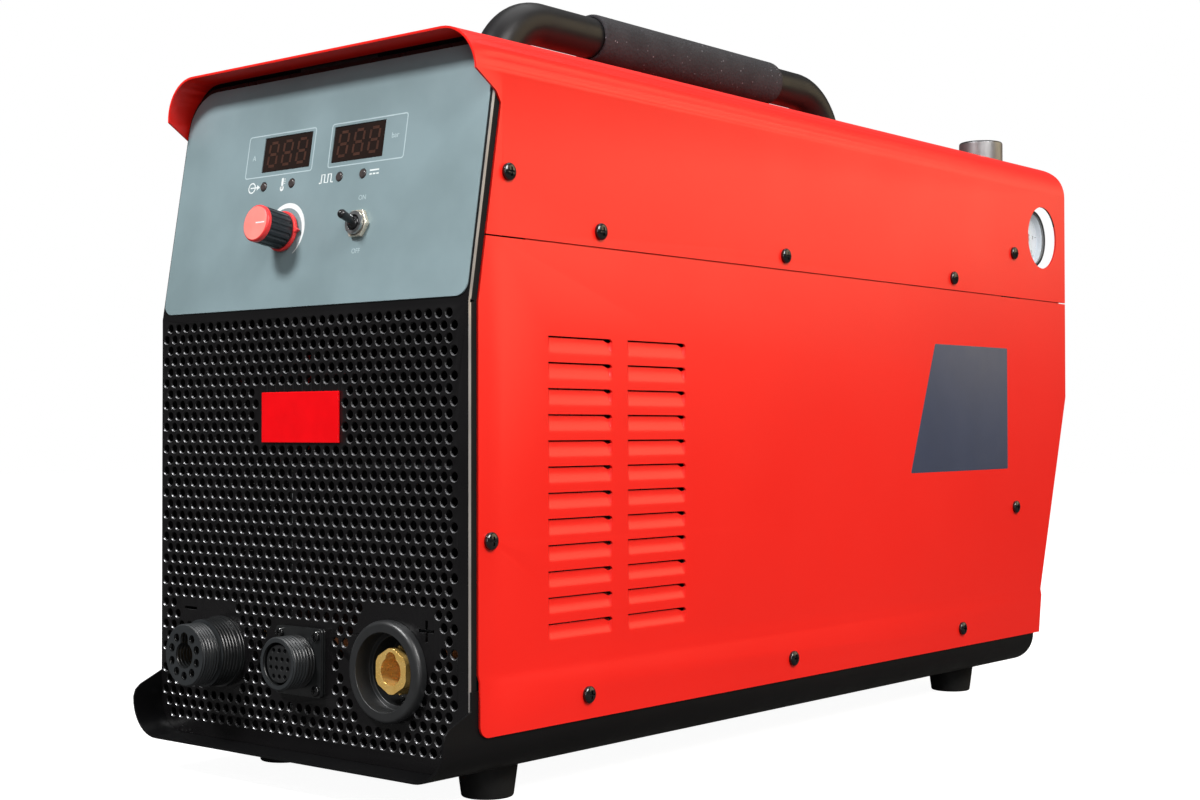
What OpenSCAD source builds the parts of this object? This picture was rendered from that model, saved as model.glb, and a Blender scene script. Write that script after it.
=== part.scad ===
// Air plasma cutting power source: steel cabinet with a carry handle, front sockets,
// tilted control panel, rear air regulator, two fans and the power stage inside.
// Millimetres. X points right seen from the front, Y to the back, Z up.
// The origin is on the floor, under the middle of the whole machine.

/* [Cabinet] */
// Width over the painted covers
cabinet_w = 240; // [232:1:260]
// Length from the grille face to the rear edge of the covers
cabinet_l = 640; // [630:5:700]
// Height of the cabinet's top above the floor
cabinet_top = 382.4; // [378:1:392]
// Thickness of the cabinet sheets
sheet_t = 1.2; // [1:0.1:1.5]
// Outer bend radius of the cover's long top edges
cover_r = 23; // [15:1:30]
// Outer bend radius of the base tray's long edges
tray_r = 20; // [12:1:22]
// Height of the seam between cover and side panels
seam_z = 280.5; // [276:0.5:284]
// Gap left open along the seam
seam_gap = 0.8; // [0.4:0.1:1.5]

/* [Base tray] */
// Height of the rubber feet
foot_h = 19; // [15:1:24]
// Height of the tray's side walls above its underside
tray_wall_h = 43; // [36:1:48]
// Length of the lip in front of the grille
tray_lip = 18; // [10:1:20]
// Distance from the covers' rear edge to the tray's rear end
tray_back = 55; // [50:1:60]
// Lowest edge of the side panels
panel_low = 39.4; // [36:0.2:42]
// Height where the side panels step outward over the tray
joggle_z = 70; // [67:0.5:74]
// Length of the slanted part of that step
joggle_h = 4; // [3:0.2:7]

/* [Front] */
// Height of the bend between grille and control panel
bend_z = 247.8; // [240:0.2:252]
// Backward tilt of the control panel in degrees
panel_tilt = 9.4; // [6:0.2:11]
// Strip of the front sheet that shows in front of the side panels
front_reveal = 5.5; // [3:0.5:7]
// Depth of the flanges that take the cover screws
flange_l = 25; // [22:1:28]
// Thickness of the printed control overlay
overlay_t = 0.8; // [0.5:0.1:1.2]
// Width of the bare name plate on the grille
plate_w = 60; // [40:1:80]
// Height of the bare name plate
plate_h = 26.4; // [20:0.2:32]

/* [Sockets] */
// Height of the three socket axes above the floor
socket_z = 67.4; // [64:0.2:72]
// Distance from the middle to the torch and work sockets
socket_x = 65.5; // [62:0.5:70]
// Reach of the torch socket in front of the grille
torch_reach = 25; // [22:0.5:30]
// Diameter of the torch socket's thread
torch_d = 33; // [31:0.5:34]
// Bore of the torch socket
torch_bore_d = 14; // [12:0.5:15]
// Side of the pilot socket's square flange
pilot_flange = 35; // [34:0.5:38]
// Outer diameter of the pilot socket's shell
pilot_d = 27.5; // [26:0.5:29]
// Reach of the pilot socket in front of the grille
pilot_reach = 17; // [15:0.5:20]
// Diameter of the work socket's collar
work_d = 51; // [49:0.5:54]
// Bore of the work socket
work_bore_d = 14; // [12:0.5:15]

/* [Controls] */
// Distance up the control panel from its bend to the knob and the switch
control_s = 43.5; // [40:0.5:48]
// Sideways place of the current knob
knob_x = -22; // [-26:0.5:-18]
// Diameter of the current knob
knob_d = 19.7; // [18.8:0.1:21]
// Height of the current knob above the panel sheet
knob_h = 21; // [19:0.5:24]
// Sideways place of the toggle switch
toggle_x = 35.5; // [30:0.5:42]
// Tilt of the toggle lever to either side in degrees
toggle_swing = 13; // [8:1:15]
// Width of a display window
window_w = 38.3; // [36:0.1:40]
// Height of a display window
window_h = 19; // [17:0.5:21]
// Distance up the panel from the bend to the display windows' middle
window_s = 88; // [85:0.5:92]
// Distance up the panel from the bend to the lamps
lamp_s = 70.3; // [68:0.1:72]
// Diameter of a status lamp
lamp_d = 5; // [4:0.5:5.5]

/* [Handle] */
// Diameter of the handle tube
handle_d = 25; // [22:0.5:27]
// Diameter over the foam grip
grip_d = 30; // [29:0.5:34]
// Bend radius of the handle tube on its axis
handle_r = 40; // [34:1:42]
// Height of the handle's axis above the cabinet's top
handle_rise = 45.6; // [44:0.2:60]
// How far the handle's middle lies in front of the cabinet's middle
handle_shift = 1.5; // [0:0.5:12]
// Distance between the handle's two legs
handle_span = 353; // [340:1:370]
// Length of the foam grip
grip_l = 192; // [120:1:240]

/* [Vents] */
// Number of louvres in a column
louvre_count = 12; // [6:1:12]
// Height from one louvre to the next
louvre_pitch = 13.05; // [12:0.05:14]
// Length of a louvre
louvre_l = 51; // [40:1:54]
// Depth to which a louvre's blade is pressed in at its top
louvre_depth = 3.4; // [2.6:0.1:4]
// Size of a fan frame
fan_size = 119; // [110:1:119]
// Depth of a fan frame
fan_depth = 38; // [32:1:40]

/* [Air supply] */
// Distance from the cabinet's right side to the regulator's axis
air_side = 49.5; // [47:0.5:52]
// Distance from the covers' rear edge to the regulator's axis
air_back = 37.3; // [35:0.1:40]
// Height of the pressure gauge
gauge_z = 326.5; // [322:0.5:330]
// Outer diameter of the pressure gauge
gauge_d = 42; // [40:0.5:42]
// Diameter of the gauge hole in the cover's side
gauge_hole_d = 45; // [43:0.5:48]
// Diameter of the regulator knob
reg_knob_d = 32; // [28:0.5:34]
// Height of the regulator knob above the cabinet's top
reg_knob_out = 19; // [15:0.5:24]
// Bore of the air inlet
air_bore_d = 8.2; // [6:0.1:10]
// Bore of the power cable gland
gland_bore_d = 16; // [12:0.5:18]

/* [Fits] */
// Clearance between pieces that are slipped together
slip = 0.1; // [0.05:0.05:0.3]
// Radial clearance of a turning shaft
run_fit = 0.05; // [0.02:0.01:0.1]
// Clearance around parts that pass through a sheet
pass_gap = 0.2; // [0.1:0.05:0.4]
// Clearance between bodies that move past each other
move_gap = 0.4; // [0.3:0.05:0.6]

/* [Hidden] */
$fn = 48;
eps = 0.01;

// Colours
paint_red = [0.86, 0.12, 0.1];
paint_black = [0.1, 0.1, 0.1];
panel_grey = [0.45, 0.53, 0.54];
moulded_black = [0.13, 0.13, 0.14];
rubber_black = [0.08, 0.08, 0.08];
foam_grey = [0.22, 0.22, 0.24];
brass_gold = [0.78, 0.6, 0.3];
bare_metal = [0.72, 0.73, 0.75];
board_green = [0.1, 0.35, 0.2];
copper_brown = [0.65, 0.35, 0.2];

// Cabinet planes. Depths are measured back from the grille face, which lies at Y = front_y.
front_y = -(cabinet_l - torch_reach) / 2;
half_w = cabinet_w / 2;
inner_half = half_w - sheet_t - slip;
tray_floor = foot_h + sheet_t;
inner_top = cabinet_top - sheet_t - slip;
inner_low = tray_floor + slip;
tray_top = foot_h + tray_wall_h;
band_half = half_w + slip + sheet_t;
tray_end = cabinet_l - tray_back;
air_x = half_w - air_side;
air_y = cabinet_l - air_back;

// Handle rail under the cover, and the flanges that carry it
rail_t = 2.5;
rail_w = 60;
rail_web = 16;
sheet_top = inner_top - rail_t;
panel_half_top = 90;

// Rear panel
rear_bay = 72;
rear_face = cabinet_l - rear_bay;
rear_inner = rear_face - sheet_t;

// Cover outline seen from the side
brow_top = 3.2;
brow_tip = 4.2;
brow_z = cabinet_top - cover_r;
brow_drop = 9;
brow_back = 14;
cover_rear_r = 10;

// Side panel outline
side_slope_top = 210.2;
side_slope_z = joggle_z - joggle_h;
side_rear_low = cabinet_l - 44.3;
side_rear_foot = side_rear_low - 4;
side_corner_r = 6;
tongue_h = 16;
tongue_start = 40;
tongue_end = rear_face - flange_l - 3;

// Screw places: [depth, height, stands on the stepped band]
screw_d = 4;
screw_head_d = 8.8;
screw_head_h = 2.8;
screw_l = 9;
cover_screw_z = seam_z + 8;
low_screw_z = 51.7;
front_screw_y = 13.7;
rear_screw_in = 170.9;
low_screw_in = 163.6;
cover_front_screw = [front_screw_y + 12.7, 311.9];
cover_rear_screw = [rear_face - 11, 311.9];
SCREWS = [
  [cover_front_screw[0], cover_front_screw[1], false],
  [96.3, cover_screw_z, false],
  [266.4, cover_screw_z, false],
  [cabinet_l - rear_screw_in, cover_screw_z, false],
  [cover_rear_screw[0], cover_rear_screw[1], false],
  [front_screw_y, 133, false],
  [rear_face - 10, 131, false],
  [84.8, low_screw_z, true],
  [271.5, low_screw_z, true],
  [cabinet_l - low_screw_in, low_screw_z, true]
];

// Handle fixing
handle_front = (cabinet_l - handle_span) / 2 - handle_shift;
handle_rear = handle_front + handle_span;
handle_z = cabinet_top + handle_rise;
bolt_d = 8;
plug_l = 18;
grip_shift = 7;

// Feet
foot_x = half_w - 41;
foot_front = 55;
foot_rear = tray_end - 48;
foot_top_r = 16;
foot_low_r = 13.4;
foot_pocket_r = 5.6;
foot_pocket_h = 10;
foot_screw_d = 5;

// Louvres
louvre_columns = [55.3, 118.3];
louvre_top = 233.3;
louvre_h = 8.5;
louvre_wall = 1;
louvre_slit = 1.4;

// Sockets, measured outward from the grille face
torch_collar_r = torch_d / 2 + 1.5;
torch_flange_r = torch_d / 2 + 2.5;
torch_back_r = 15;
torch_back_l = 20;
torch_tail = 14;
torch_seat = torch_reach - 13;
torch_tube_r = torch_bore_d / 2 - 0.9;
torch_flange_t = 3;
torch_neck = 14;
torch_ring_r = 10.9;
torch_hole_d = 3.4;
torch_cup_r = 2.3;
torch_key_r = 3.1;
torch_key_y = torch_ring_r - 1.9;
torch_slots = 10;
pilot_flange_t = 3;
pilot_back_r = 12;
pilot_back_l = 16;
pilot_hole_d = 2.4;
pilot_pitch = 4.4;
pilot_screw = pilot_flange / 2 - 3.5;
pilot_wall = 2.75;
pilot_step = 1;
pilot_contact_l = 8.5;
pilot_insert_r = pilot_d / 2 - pilot_wall - slip;
work_collar_t = 5.5;
work_back_r = 21;
work_recess_r = 19.6;
work_back_l = 20;
work_floor_t = 4;
work_hex_r = 12.3;
work_hex_l = 10;
work_round_r = 11.4;
work_stud_r = 9;
work_stud_l = 16;
work_step = 2.4;
work_step_l = 4;
work_key_r = 3.7;
work_key_y = 5.8;
nut_t = 6;
panel_screw_d = 3;

// Control panel
overlay_low = 2.5;
overlay_half = inner_half - 1.4;
overlay_s = 130;
overlay_r = 7;
overlay_top_r = 21;
window_x = [-28.8, 27];
lamp_x = [-44.6, -21.8, 15.7, 33.5];
board_gap = 12;
board_t = 1.6;
board_w = 170;
board_s = [60, 118];
spacer_x = 78;
pot_r = 12;
pot_l = 12;
bushing_r = 5;
bushing_h = 5;
pot_nut_r = 7;
shaft_r = 3;
skirt_h = 2;
skirt_r = knob_d / 2 + 1;
cap_h = 3;
flutes = 18;
knob_cavity_r = 7.8;
knob_cavity_h = 6;
knob_base = overlay_t + 0.8;
toggle_bush_r = 6;
toggle_bore_r = 4.2;
toggle_pivot = 3;
toggle_bush_h = 5;
toggle_nut_t = 2.4;
toggle_reach = 10;
toggle_pin_r = 0.9;
toggle_pin_half = 5;

// Fans
fan_x = -30;
fan_low_z = 100;
fan_high_z = 228;
fan_hole_r = fan_size / 2 - 3;
fan_tip_r = fan_hole_r - 2;
fan_hub_r = 21;
fan_pin_r = 3;
fan_blades = 7;
fan_blade_w = 28;
fan_motor_l = 8;
fan_strut = 5;
fan_screw = fan_size / 2 - 7;
vent_ring = 6;
vent_spoke = 5;

// Breaker
breaker_x = -30;
breaker_z = 331.5;
breaker_w = 54;
breaker_body_h = 81;
breaker_nose_h = 45;
breaker_nose = 5;
breaker_l = 56;
lever_w = 40;
lever_drum_r = 6.5;
lever_reach = 17;
lever_swing = 35;

// Cable gland
gland_side = 36;
gland_x = half_w - gland_side;
gland_z = 120;
gland_r = 14;
gland_hex_r = 17;
gland_out = 26;
gland_in = 12;
gland_hex = 8;
gland_nut = 6;
gland_cone = 6;

// Air regulator, with its axis upright
reg_half = 20;
reg_low = gauge_z - 24;
reg_high = gauge_z + 21;
reg_neck_r = 14;
reg_neck_h = 6;
bracket_t = 2;
spindle_r = 6;
spindle_in = 9;
outlet_l = 16;
inlet_seat = 6;
bracket_lip = 16;
knob_wall = 2;
reg_knob_top = cabinet_top + reg_knob_out;
reg_knob_lift = 3;
reg_knob_low = reg_high + reg_neck_h + 2;
spindle_top = reg_knob_top - 2 - reg_knob_lift - move_gap;
bowl_r = 20;
bowl_wall = 2.5;
bowl_l = 78;
drain_r = 4;
drain_l = 14;
drain_travel = 3;
port_r = 8;
inlet_l = 14;
gauge_face = half_w - 7.6;
gauge_back = air_x + reg_half + 2;
gauge_wall = 1.5;
dial_t = 0.8;
needle_gap = 1;
needle_t = 0.5;
lens_t = 1.5;
pivot_r = 1;

// Inside
deck_z = 165;
deck_t = 2;
deck_half = half_w - tray_r - 2;
deck_front = 75;
deck_rear = rear_inner - fan_depth - 9;
deck_top = deck_z + deck_t;
hose_d = 10;
hose_r = 25;
valve_l = 50;
valve_gap = 75;
valve_front = deck_rear - valve_gap - valve_l;
valve_half = 15;
valve_h = 30;
valve_coil_h = 34;
valve_nut_h = 5;
hose_z = deck_top + valve_h / 2;
hose_drop_y = 60;
sink_l = 240;
sink_front = deck_rear - 40 - sink_l;
sink_w = 110;
sink_h = 55;
sink_base = 8;
sink_fins = 12;
sink_fin_t = 2;
module_w = 34;
module_l = 94;
module_h = 30;
module_count = 2;
pcb_w = 100;
pcb_l = 225;
capacitor_r = 17;
capacitor_h = 45;
core_y = 200;
core_l = 66;
core_w = 120;
core_h = 96;
core_leg = 24;
coil_clear = 1;
choke_y = 380;
choke_r = 46;
choke_bore_r = 16;
choke_h = 52;

// Height on the tilted control panel turned into depth at the sheet's face
function panel_y(z) = max(0, (z - bend_z) * tan(panel_tilt));

// ---- Placing helpers ----

// Puts a node's depths, counted from the grille face, at their place on Y
module in_frame(paint) {
  color(paint) translate([0, front_y, 0]) children();
}

// Extrudes an X-Z outline from depth a to depth b
module along_y(a, b) {
  translate([0, b, 0]) rotate([90, 0, 0]) linear_extrude(b - a) children();
}

// Extrudes a depth-height outline from X = a to X = b
module along_x(a, b) {
  translate([a, 0, 0]) rotate([90, 0, 90]) linear_extrude(b - a) children();
}

// Local Z points out of the grille
module on_grille(x, z) {
  translate([x, 0, z]) rotate([90, 0, 0]) children();
}

// Local Y runs up the control panel and local Z points out of it
module on_panel(x, s) {
  translate([0, 0, bend_z]) rotate([90 - panel_tilt, 0, 0]) translate([x, s, 0]) children();
}

// Local Z points out of the rear panel, and local Y points down
module on_rear(x, z) {
  translate([x, rear_face, z]) rotate([-90, 0, 0]) children();
}

// Local Z points to the right along the gauge's axis
module on_gauge(x = 0) {
  translate([x, air_y, gauge_z]) rotate([90, 0, 90]) children();
}

module at_regulator(z = 0) {
  translate([air_x, air_y, z]) children();
}

// Copies a piece to the left side as well
module both_sides() {
  children();
  mirror([1, 0, 0]) children();
}

// ---- Shape helpers ----

// Upright slab with two round lower corners, standing on y = 0
module round_slab(w, h, r) {
  translate([-w / 2, r]) square([w, h - r]);
  translate([-w / 2 + r, 0]) square([w - 2 * r, r + eps]);
  for (side = [-1, 1]) translate([side * (w / 2 - r), r]) circle(r);
}

// Sheet bent to a U, open at the top
module bent_channel(w, h, r, t) {
  difference() {
    round_slab(w, h, r);
    translate([0, t]) round_slab(w - 2 * t, h, r - t);
  }
}

// Rectangle from its corners with round corners of one radius
module round_rect(x0, y0, x1, y1, r) {
  translate([x0 + r, y0]) square([x1 - x0 - 2 * r, y1 - y0]);
  translate([x0, y0 + r]) square([x1 - x0, y1 - y0 - 2 * r]);
  for (x = [x0 + r, x1 - r], y = [y0 + r, y1 - r]) translate([x, y]) circle(r);
}

// Corner of a square outside its quarter circle, to round a convex corner at the origin
module corner_waste(r) {
  difference() {
    translate([-eps, -eps]) square(r + eps);
    translate([r, r]) circle(r);
  }
}

// Outline of the space between tray and cover, seen from the front
module inside_outline(top) {
  mid = (inner_low + top) / 2;
  translate([0, inner_low]) round_slab(2 * inner_half, mid - inner_low + eps, tray_r - sheet_t);
  translate([0, top]) mirror([0, 1]) round_slab(2 * inner_half, top - mid, cover_r - sheet_t);
}

// Ring from z = a to z = b
module ring(a, b, r_out, r_in) {
  translate([0, 0, a]) difference() {
    cylinder(h = b - a, r = r_out);
    translate([0, 0, -eps]) cylinder(h = b - a + 2 * eps, r = r_in);
  }
}

// Six-sided nut from z = a to z = b
module hex_nut(a, b, r_out, r_in) {
  translate([0, 0, a]) difference() {
    cylinder(h = b - a, r = r_out, $fn = 6);
    translate([0, 0, -eps]) cylinder(h = b - a + 2 * eps, r = r_in);
  }
}

// Pan head above z = 0 with a cross recess, and its shank below
module pan_screw(d, head_d, head_h, l) {
  difference() {
    union() {
      cylinder(h = head_h * 0.6, r = head_d / 2);
      translate([0, 0, head_h * 0.6]) cylinder(h = head_h * 0.4, r1 = head_d / 2, r2 = head_d * 0.36);
    }
    for (a = [0, 90]) rotate(a) translate([-head_d * 0.28, -head_d * 0.06, head_h * 0.4])
      cube([head_d * 0.56, head_d * 0.12, head_h]);
  }
  translate([0, 0, -l]) cylinder(h = l + eps, r = d / 2);
}

// Quarter of a bent tube around the origin in the X-Y plane, from the X axis to the Y axis
module quarter_bend(bend, d) {
  rotate_extrude(angle = 90) translate([bend, 0]) circle(d / 2);
}

// The same bend upright: from the front up, from the back up, and from the back down
module bend_front_top(bend, d) {
  rotate([90, 0, -90]) quarter_bend(bend, d);
}

module bend_back_top(bend, d) {
  rotate([90, 0, 90]) quarter_bend(bend, d);
}

module bend_back_low(bend, d) {
  rotate([-90, 0, 90]) quarter_bend(bend, d);
}

// ---- Cabinet ----

// Depth-height outline of the tray's sheet seen from the side
module tray_side() {
  nose_z = foot_h + 27.5;
  polygon([
    [-tray_lip, foot_h - 1], [-tray_lip, nose_z - 6.5], [-tray_lip + 1.2, nose_z - 2.8], [-tray_lip + 4.5, nose_z],
    [1, tray_top - 9], [1, tray_top], [tray_end, tray_top], [tray_end, foot_h - 1]
  ]);
}

module base_tray() in_frame(paint_black) {
  difference() {
    intersection() {
      along_y(-tray_lip, tray_end)
        translate([0, foot_h]) bent_channel(cabinet_w, tray_wall_h, tray_r, sheet_t);
      along_x(-half_w - 1, half_w + 1) tray_side();
    }
    foot_places() cylinder(h = 4 * sheet_t, r = foot_screw_d / 2 + pass_gap, center = true);
    for (s = SCREWS) if (s[2]) both_sides() translate([half_w, s[0], s[1]])
      rotate([0, 90, 0]) cylinder(h = 4 * sheet_t, r = screw_d / 2 + pass_gap, center = true);
  }
}

module foot_places() {
  for (x = [-foot_x, foot_x], y = [foot_front, foot_rear]) translate([x, y, foot_h]) children();
}

// Front sheet seen from the side: upright grille, tilted control panel
module front_side(back) {
  shift = back / cos(panel_tilt);
  low_turn = bend_z - (shift - back) / tan(panel_tilt);
  polygon([
    [0, inner_low], [0, bend_z], [panel_y(sheet_top), sheet_top],
    [panel_y(sheet_top) + shift, sheet_top], [back, low_turn], [back, inner_low]
  ]);
}

module front_flange_side() {
  low = foot_h + tray_r + 6;
  high = brow_z - 2;
  difference() {
    polygon([
      [0, low], [0, bend_z], [panel_y(high), high], [panel_y(high) + flange_l, high],
      [flange_l, bend_z], [flange_l, low]
    ]);
    polygon([[-1, bend_z - 1.5], [front_reveal - 1, bend_z], [-1, bend_z + 1.5]]);
  }
}

module front_panel() in_frame(paint_black) {
  difference() {
    intersection() {
      union() {
        along_x(-inner_half, inner_half) front_side(sheet_t);
        both_sides() along_x(inner_half - sheet_t, inner_half) front_flange_side();
        translate([-panel_half_top, eps, inner_low]) cube([2 * panel_half_top, flange_l, sheet_t]);
        translate([-panel_half_top, panel_y(sheet_top) + eps, sheet_top - sheet_t])
          cube([2 * panel_half_top, flange_l, sheet_t]);
      }
      along_y(-1, panel_y(cabinet_top) + 2 * flange_l) inside_outline(sheet_top);
    }
    on_grille(-socket_x, socket_z) sheet_hole(torch_back_r + pass_gap);
    on_grille(0, socket_z) sheet_hole(pilot_back_r + pass_gap);
    on_grille(socket_x, socket_z) sheet_hole(work_back_r + pass_gap);
    on_grille(0, socket_z) four_corners(pilot_screw) sheet_hole(panel_screw_d / 2 + pass_gap);
    on_panel(knob_x, control_s) sheet_hole(bushing_r + pass_gap);
    on_panel(toggle_x, control_s) sheet_hole(toggle_bush_r + pass_gap);
    window_cuts();
    for (x = lamp_x) on_panel(x, lamp_s) sheet_hole(lamp_d / 2 + pass_gap);
    for (s = [SCREWS[0], SCREWS[5]]) both_sides() screw_hole(s);
  }
}

module sheet_hole(r) {
  cylinder(h = 6 * sheet_t, r = r, center = true);
}

module four_corners(d) {
  for (x = [-d, d], y = [-d, d]) translate([x, y, 0]) children();
}

module screw_hole(s) {
  translate([half_w, s[0], s[1]]) rotate([0, 90, 0])
    cylinder(h = 10 * sheet_t, r = screw_d / 2 + pass_gap, center = true);
}

module window_cuts() {
  for (x = window_x) on_panel(x, window_s)
    cube([window_w + 2 * pass_gap, window_h + 2 * pass_gap, 6 * sheet_t], center = true);
}

module control_overlay() in_frame(panel_grey) {
  difference() {
    on_panel(0, 0) linear_extrude(overlay_t) overlay_outline();
    on_panel(knob_x, control_s) sheet_hole(bushing_r + pass_gap);
    on_panel(toggle_x, control_s) sheet_hole(toggle_bush_r + pass_gap);
    window_cuts();
    for (x = lamp_x) on_panel(x, lamp_s) sheet_hole(lamp_d / 2 + pass_gap);
  }
}

module overlay_outline() {
  mid = overlay_s / 2;
  translate([0, overlay_low]) round_slab(2 * overlay_half, mid, overlay_r);
  translate([0, overlay_s]) mirror([0, 1]) round_slab(2 * overlay_half, mid, overlay_top_r);
}

// Depth-height outline of the cover seen from the side
module cover_side() {
  low = seam_z;
  turn_z = brow_z - brow_drop - 5.6;
  difference() {
    polygon([
      [brow_top, cabinet_top + 1], [brow_tip, brow_z], [brow_tip + brow_back, brow_z - brow_drop],
      [panel_y(turn_z) + front_reveal, turn_z], [panel_y(low) + front_reveal, low],
      [cabinet_l, low], [cabinet_l, cabinet_top + 1]
    ]);
    translate([cabinet_l, cabinet_top + eps]) rotate(180) corner_waste(cover_rear_r);
  }
}

module top_cover() in_frame(paint_red) {
  difference() {
    intersection() {
      along_y(0, cabinet_l) translate([0, cabinet_top]) mirror([0, 1])
        bent_channel(cabinet_w, cabinet_top - seam_z, cover_r, sheet_t);
      along_x(-half_w - 1, half_w + 1) cover_side();
    }
    for (s = SCREWS) if (!s[2] && s[1] > seam_z) both_sides() screw_hole(s);
    on_gauge(half_w) cylinder(h = 6 * sheet_t, r = gauge_hole_d / 2, center = true);
    at_regulator(cabinet_top) cylinder(h = 6 * sheet_t, r = reg_knob_d / 2 + 1.5, center = true);
    handle_legs(cabinet_top) cylinder(h = 6 * sheet_t, r = bolt_d / 2 + pass_gap, center = true);
  }
}

// Section of a side panel, from the stepped band to the tongue behind the cover
module side_section(tongue) {
  top = seam_z - seam_gap;
  back = half_w - sheet_t;
  plain = [
    [half_w, top], [half_w, joggle_z], [band_half, joggle_z - joggle_h], [band_half, panel_low],
    [half_w + slip, panel_low], [half_w + slip, joggle_z - joggle_h], [back, joggle_z]
  ];
  behind = [
    [back, top - 4], [inner_half - sheet_t, top - 1], [inner_half - sheet_t, top + tongue_h],
    [inner_half, top + tongue_h], [inner_half, top - 1]
  ];
  polygon(tongue ? concat(plain, behind) : concat(plain, [[back, top]]));
}

// Depth-height outline of a side panel
module side_outline() {
  high = seam_z + tongue_h + 1;
  difference() {
    polygon([
      [front_reveal, panel_low], [front_reveal, bend_z], [panel_y(high) + front_reveal, high], [cabinet_l, high],
      [cabinet_l, side_slope_top], [side_rear_low, side_slope_z], [side_rear_foot, panel_low]
    ]);
    translate([front_reveal, panel_low]) corner_waste(side_corner_r);
  }
}

// Blades that lean in behind the sheet, with their end walls, one below the other
module louvre_blades() {
  back = half_w - louvre_depth - louvre_wall;
  for (y = louvre_columns, i = [0:louvre_count - 1])
    along_y(y, y + louvre_l) translate([0, louvre_top - i * louvre_pitch]) polygon([
      [half_w - 0.5, -louvre_h - 0.9], [half_w - 0.5, -louvre_slit - 1], [back, -louvre_slit],
      [back, -louvre_slit - 0.7]
    ]);
}

// Recess in front of each blade; its top edge leaves the slit open to the inside
module louvre_recesses() {
  slope = (louvre_h - louvre_slit) / louvre_depth;
  for (y = louvre_columns, i = [0:louvre_count - 1])
    along_y(y + louvre_wall, y + louvre_l - louvre_wall)
      translate([0, louvre_top - i * louvre_pitch]) polygon([
        [half_w + 1, 0], [half_w - louvre_depth, 0], [half_w - louvre_depth, -louvre_slit],
        [half_w + 1, -louvre_h - slope]
      ]);
}

module side_panel() {
  difference() {
    union() {
      intersection() {
        union() {
          along_y(0, cabinet_l) side_section(false);
          along_y(tongue_start, tongue_end) side_section(true);
          along_y(rear_face + 1, cabinet_l - 8) side_section(true);
        }
        along_x(0, band_half + 1) side_outline();
      }
      louvre_blades();
    }
    louvre_recesses();
    for (s = SCREWS) if (s[2] || s[1] < joggle_z || s[1] < seam_z || s[0] > tongue_start && s[0] < tongue_end)
      screw_hole(s);
  }
}

module side_panel_right() in_frame(paint_red) side_panel();

module side_panel_left() in_frame(paint_red) mirror([1, 0, 0]) side_panel();

// Concentric slots stamped in front of a fan
module vent_slots() {
  difference() {
    for (r = [fan_hub_r:2 * vent_ring:fan_hole_r - vent_ring]) difference() {
      circle(r + vent_ring);
      circle(r);
    }
    for (a = [45, 135]) rotate(a) square([2 * fan_hole_r, vent_spoke], center = true);
  }
}

module rear_panel() in_frame(paint_black) {
  difference() {
    intersection() {
      union() {
        along_y(rear_inner, rear_face) inside_outline(sheet_top);
        both_sides() translate([inner_half - sheet_t, rear_face - flange_l, foot_h + tray_r + 6])
          cube([sheet_t, flange_l - eps, brow_z - foot_h - tray_r - 8]);
        translate([-panel_half_top, rear_face - flange_l, inner_low])
          cube([2 * panel_half_top, flange_l - eps, sheet_t]);
        translate([-panel_half_top, rear_face - flange_l, sheet_top - sheet_t])
          cube([2 * panel_half_top, flange_l - eps, sheet_t]);
      }
      along_y(rear_face - 2 * flange_l, rear_face + 1) inside_outline(sheet_top);
    }
    for (z = [fan_low_z, fan_high_z]) {
      along_y(rear_face - 3 * sheet_t, rear_face + sheet_t) translate([fan_x, z]) vent_slots();
      on_rear(fan_x, z) four_corners(fan_screw) sheet_hole(panel_screw_d / 2 + pass_gap);
    }
    along_y(rear_face - 3 * sheet_t, rear_face + sheet_t)
      translate([breaker_x - breaker_w / 2 - pass_gap, breaker_z - breaker_nose_h / 2 - pass_gap])
      square([breaker_w + 2 * pass_gap, breaker_nose_h + 2 * pass_gap]);
    on_rear(gland_x, gland_z) sheet_hole(gland_r + pass_gap);
    on_rear(air_x, gauge_z) sheet_hole(port_r + pass_gap);
    for (s = [SCREWS[4], SCREWS[6]]) both_sides() screw_hole(s);
  }
}

module handle_rail() in_frame(bare_metal) {
  start = panel_y(sheet_top) + 2 * sheet_t;
  stop = rear_inner - 1;
  web_start = start + 2 * flange_l;
  web_stop = rear_inner - breaker_l - 10;
  difference() {
    union() {
      translate([-rail_w / 2, start, sheet_top]) cube([rail_w, stop - start, rail_t]);
      both_sides() translate([rail_w / 2 - rail_t, web_start, sheet_top - rail_web])
        cube([rail_t, web_stop - web_start, rail_web + eps]);
    }
    handle_legs(inner_top) cylinder(h = 6 * rail_t, r = bolt_d / 2 + pass_gap, center = true);
  }
}

// Bridge over the transformer and the choke that carries the power stage
module inner_deck() in_frame(bare_metal) {
  difference() {
    along_y(deck_front, deck_rear) difference() {
      translate([-deck_half, tray_floor]) square([2 * deck_half, deck_top - tray_floor]);
      translate([-deck_half + deck_t, tray_floor - 1])
        square([2 * (deck_half - deck_t), deck_z - tray_floor + 1]);
    }
  }
}

module shell_screws() in_frame(moulded_black) {
  for (s = SCREWS) both_sides() translate([s[2] ? band_half : half_w, s[0], s[1]])
    rotate([0, 90, 0]) pan_screw(screw_d, screw_head_d, screw_head_h, screw_l);
}

// ---- Handle ----

module handle_legs(z) {
  for (y = [handle_front, handle_rear]) translate([0, y, z]) children();
}

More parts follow.
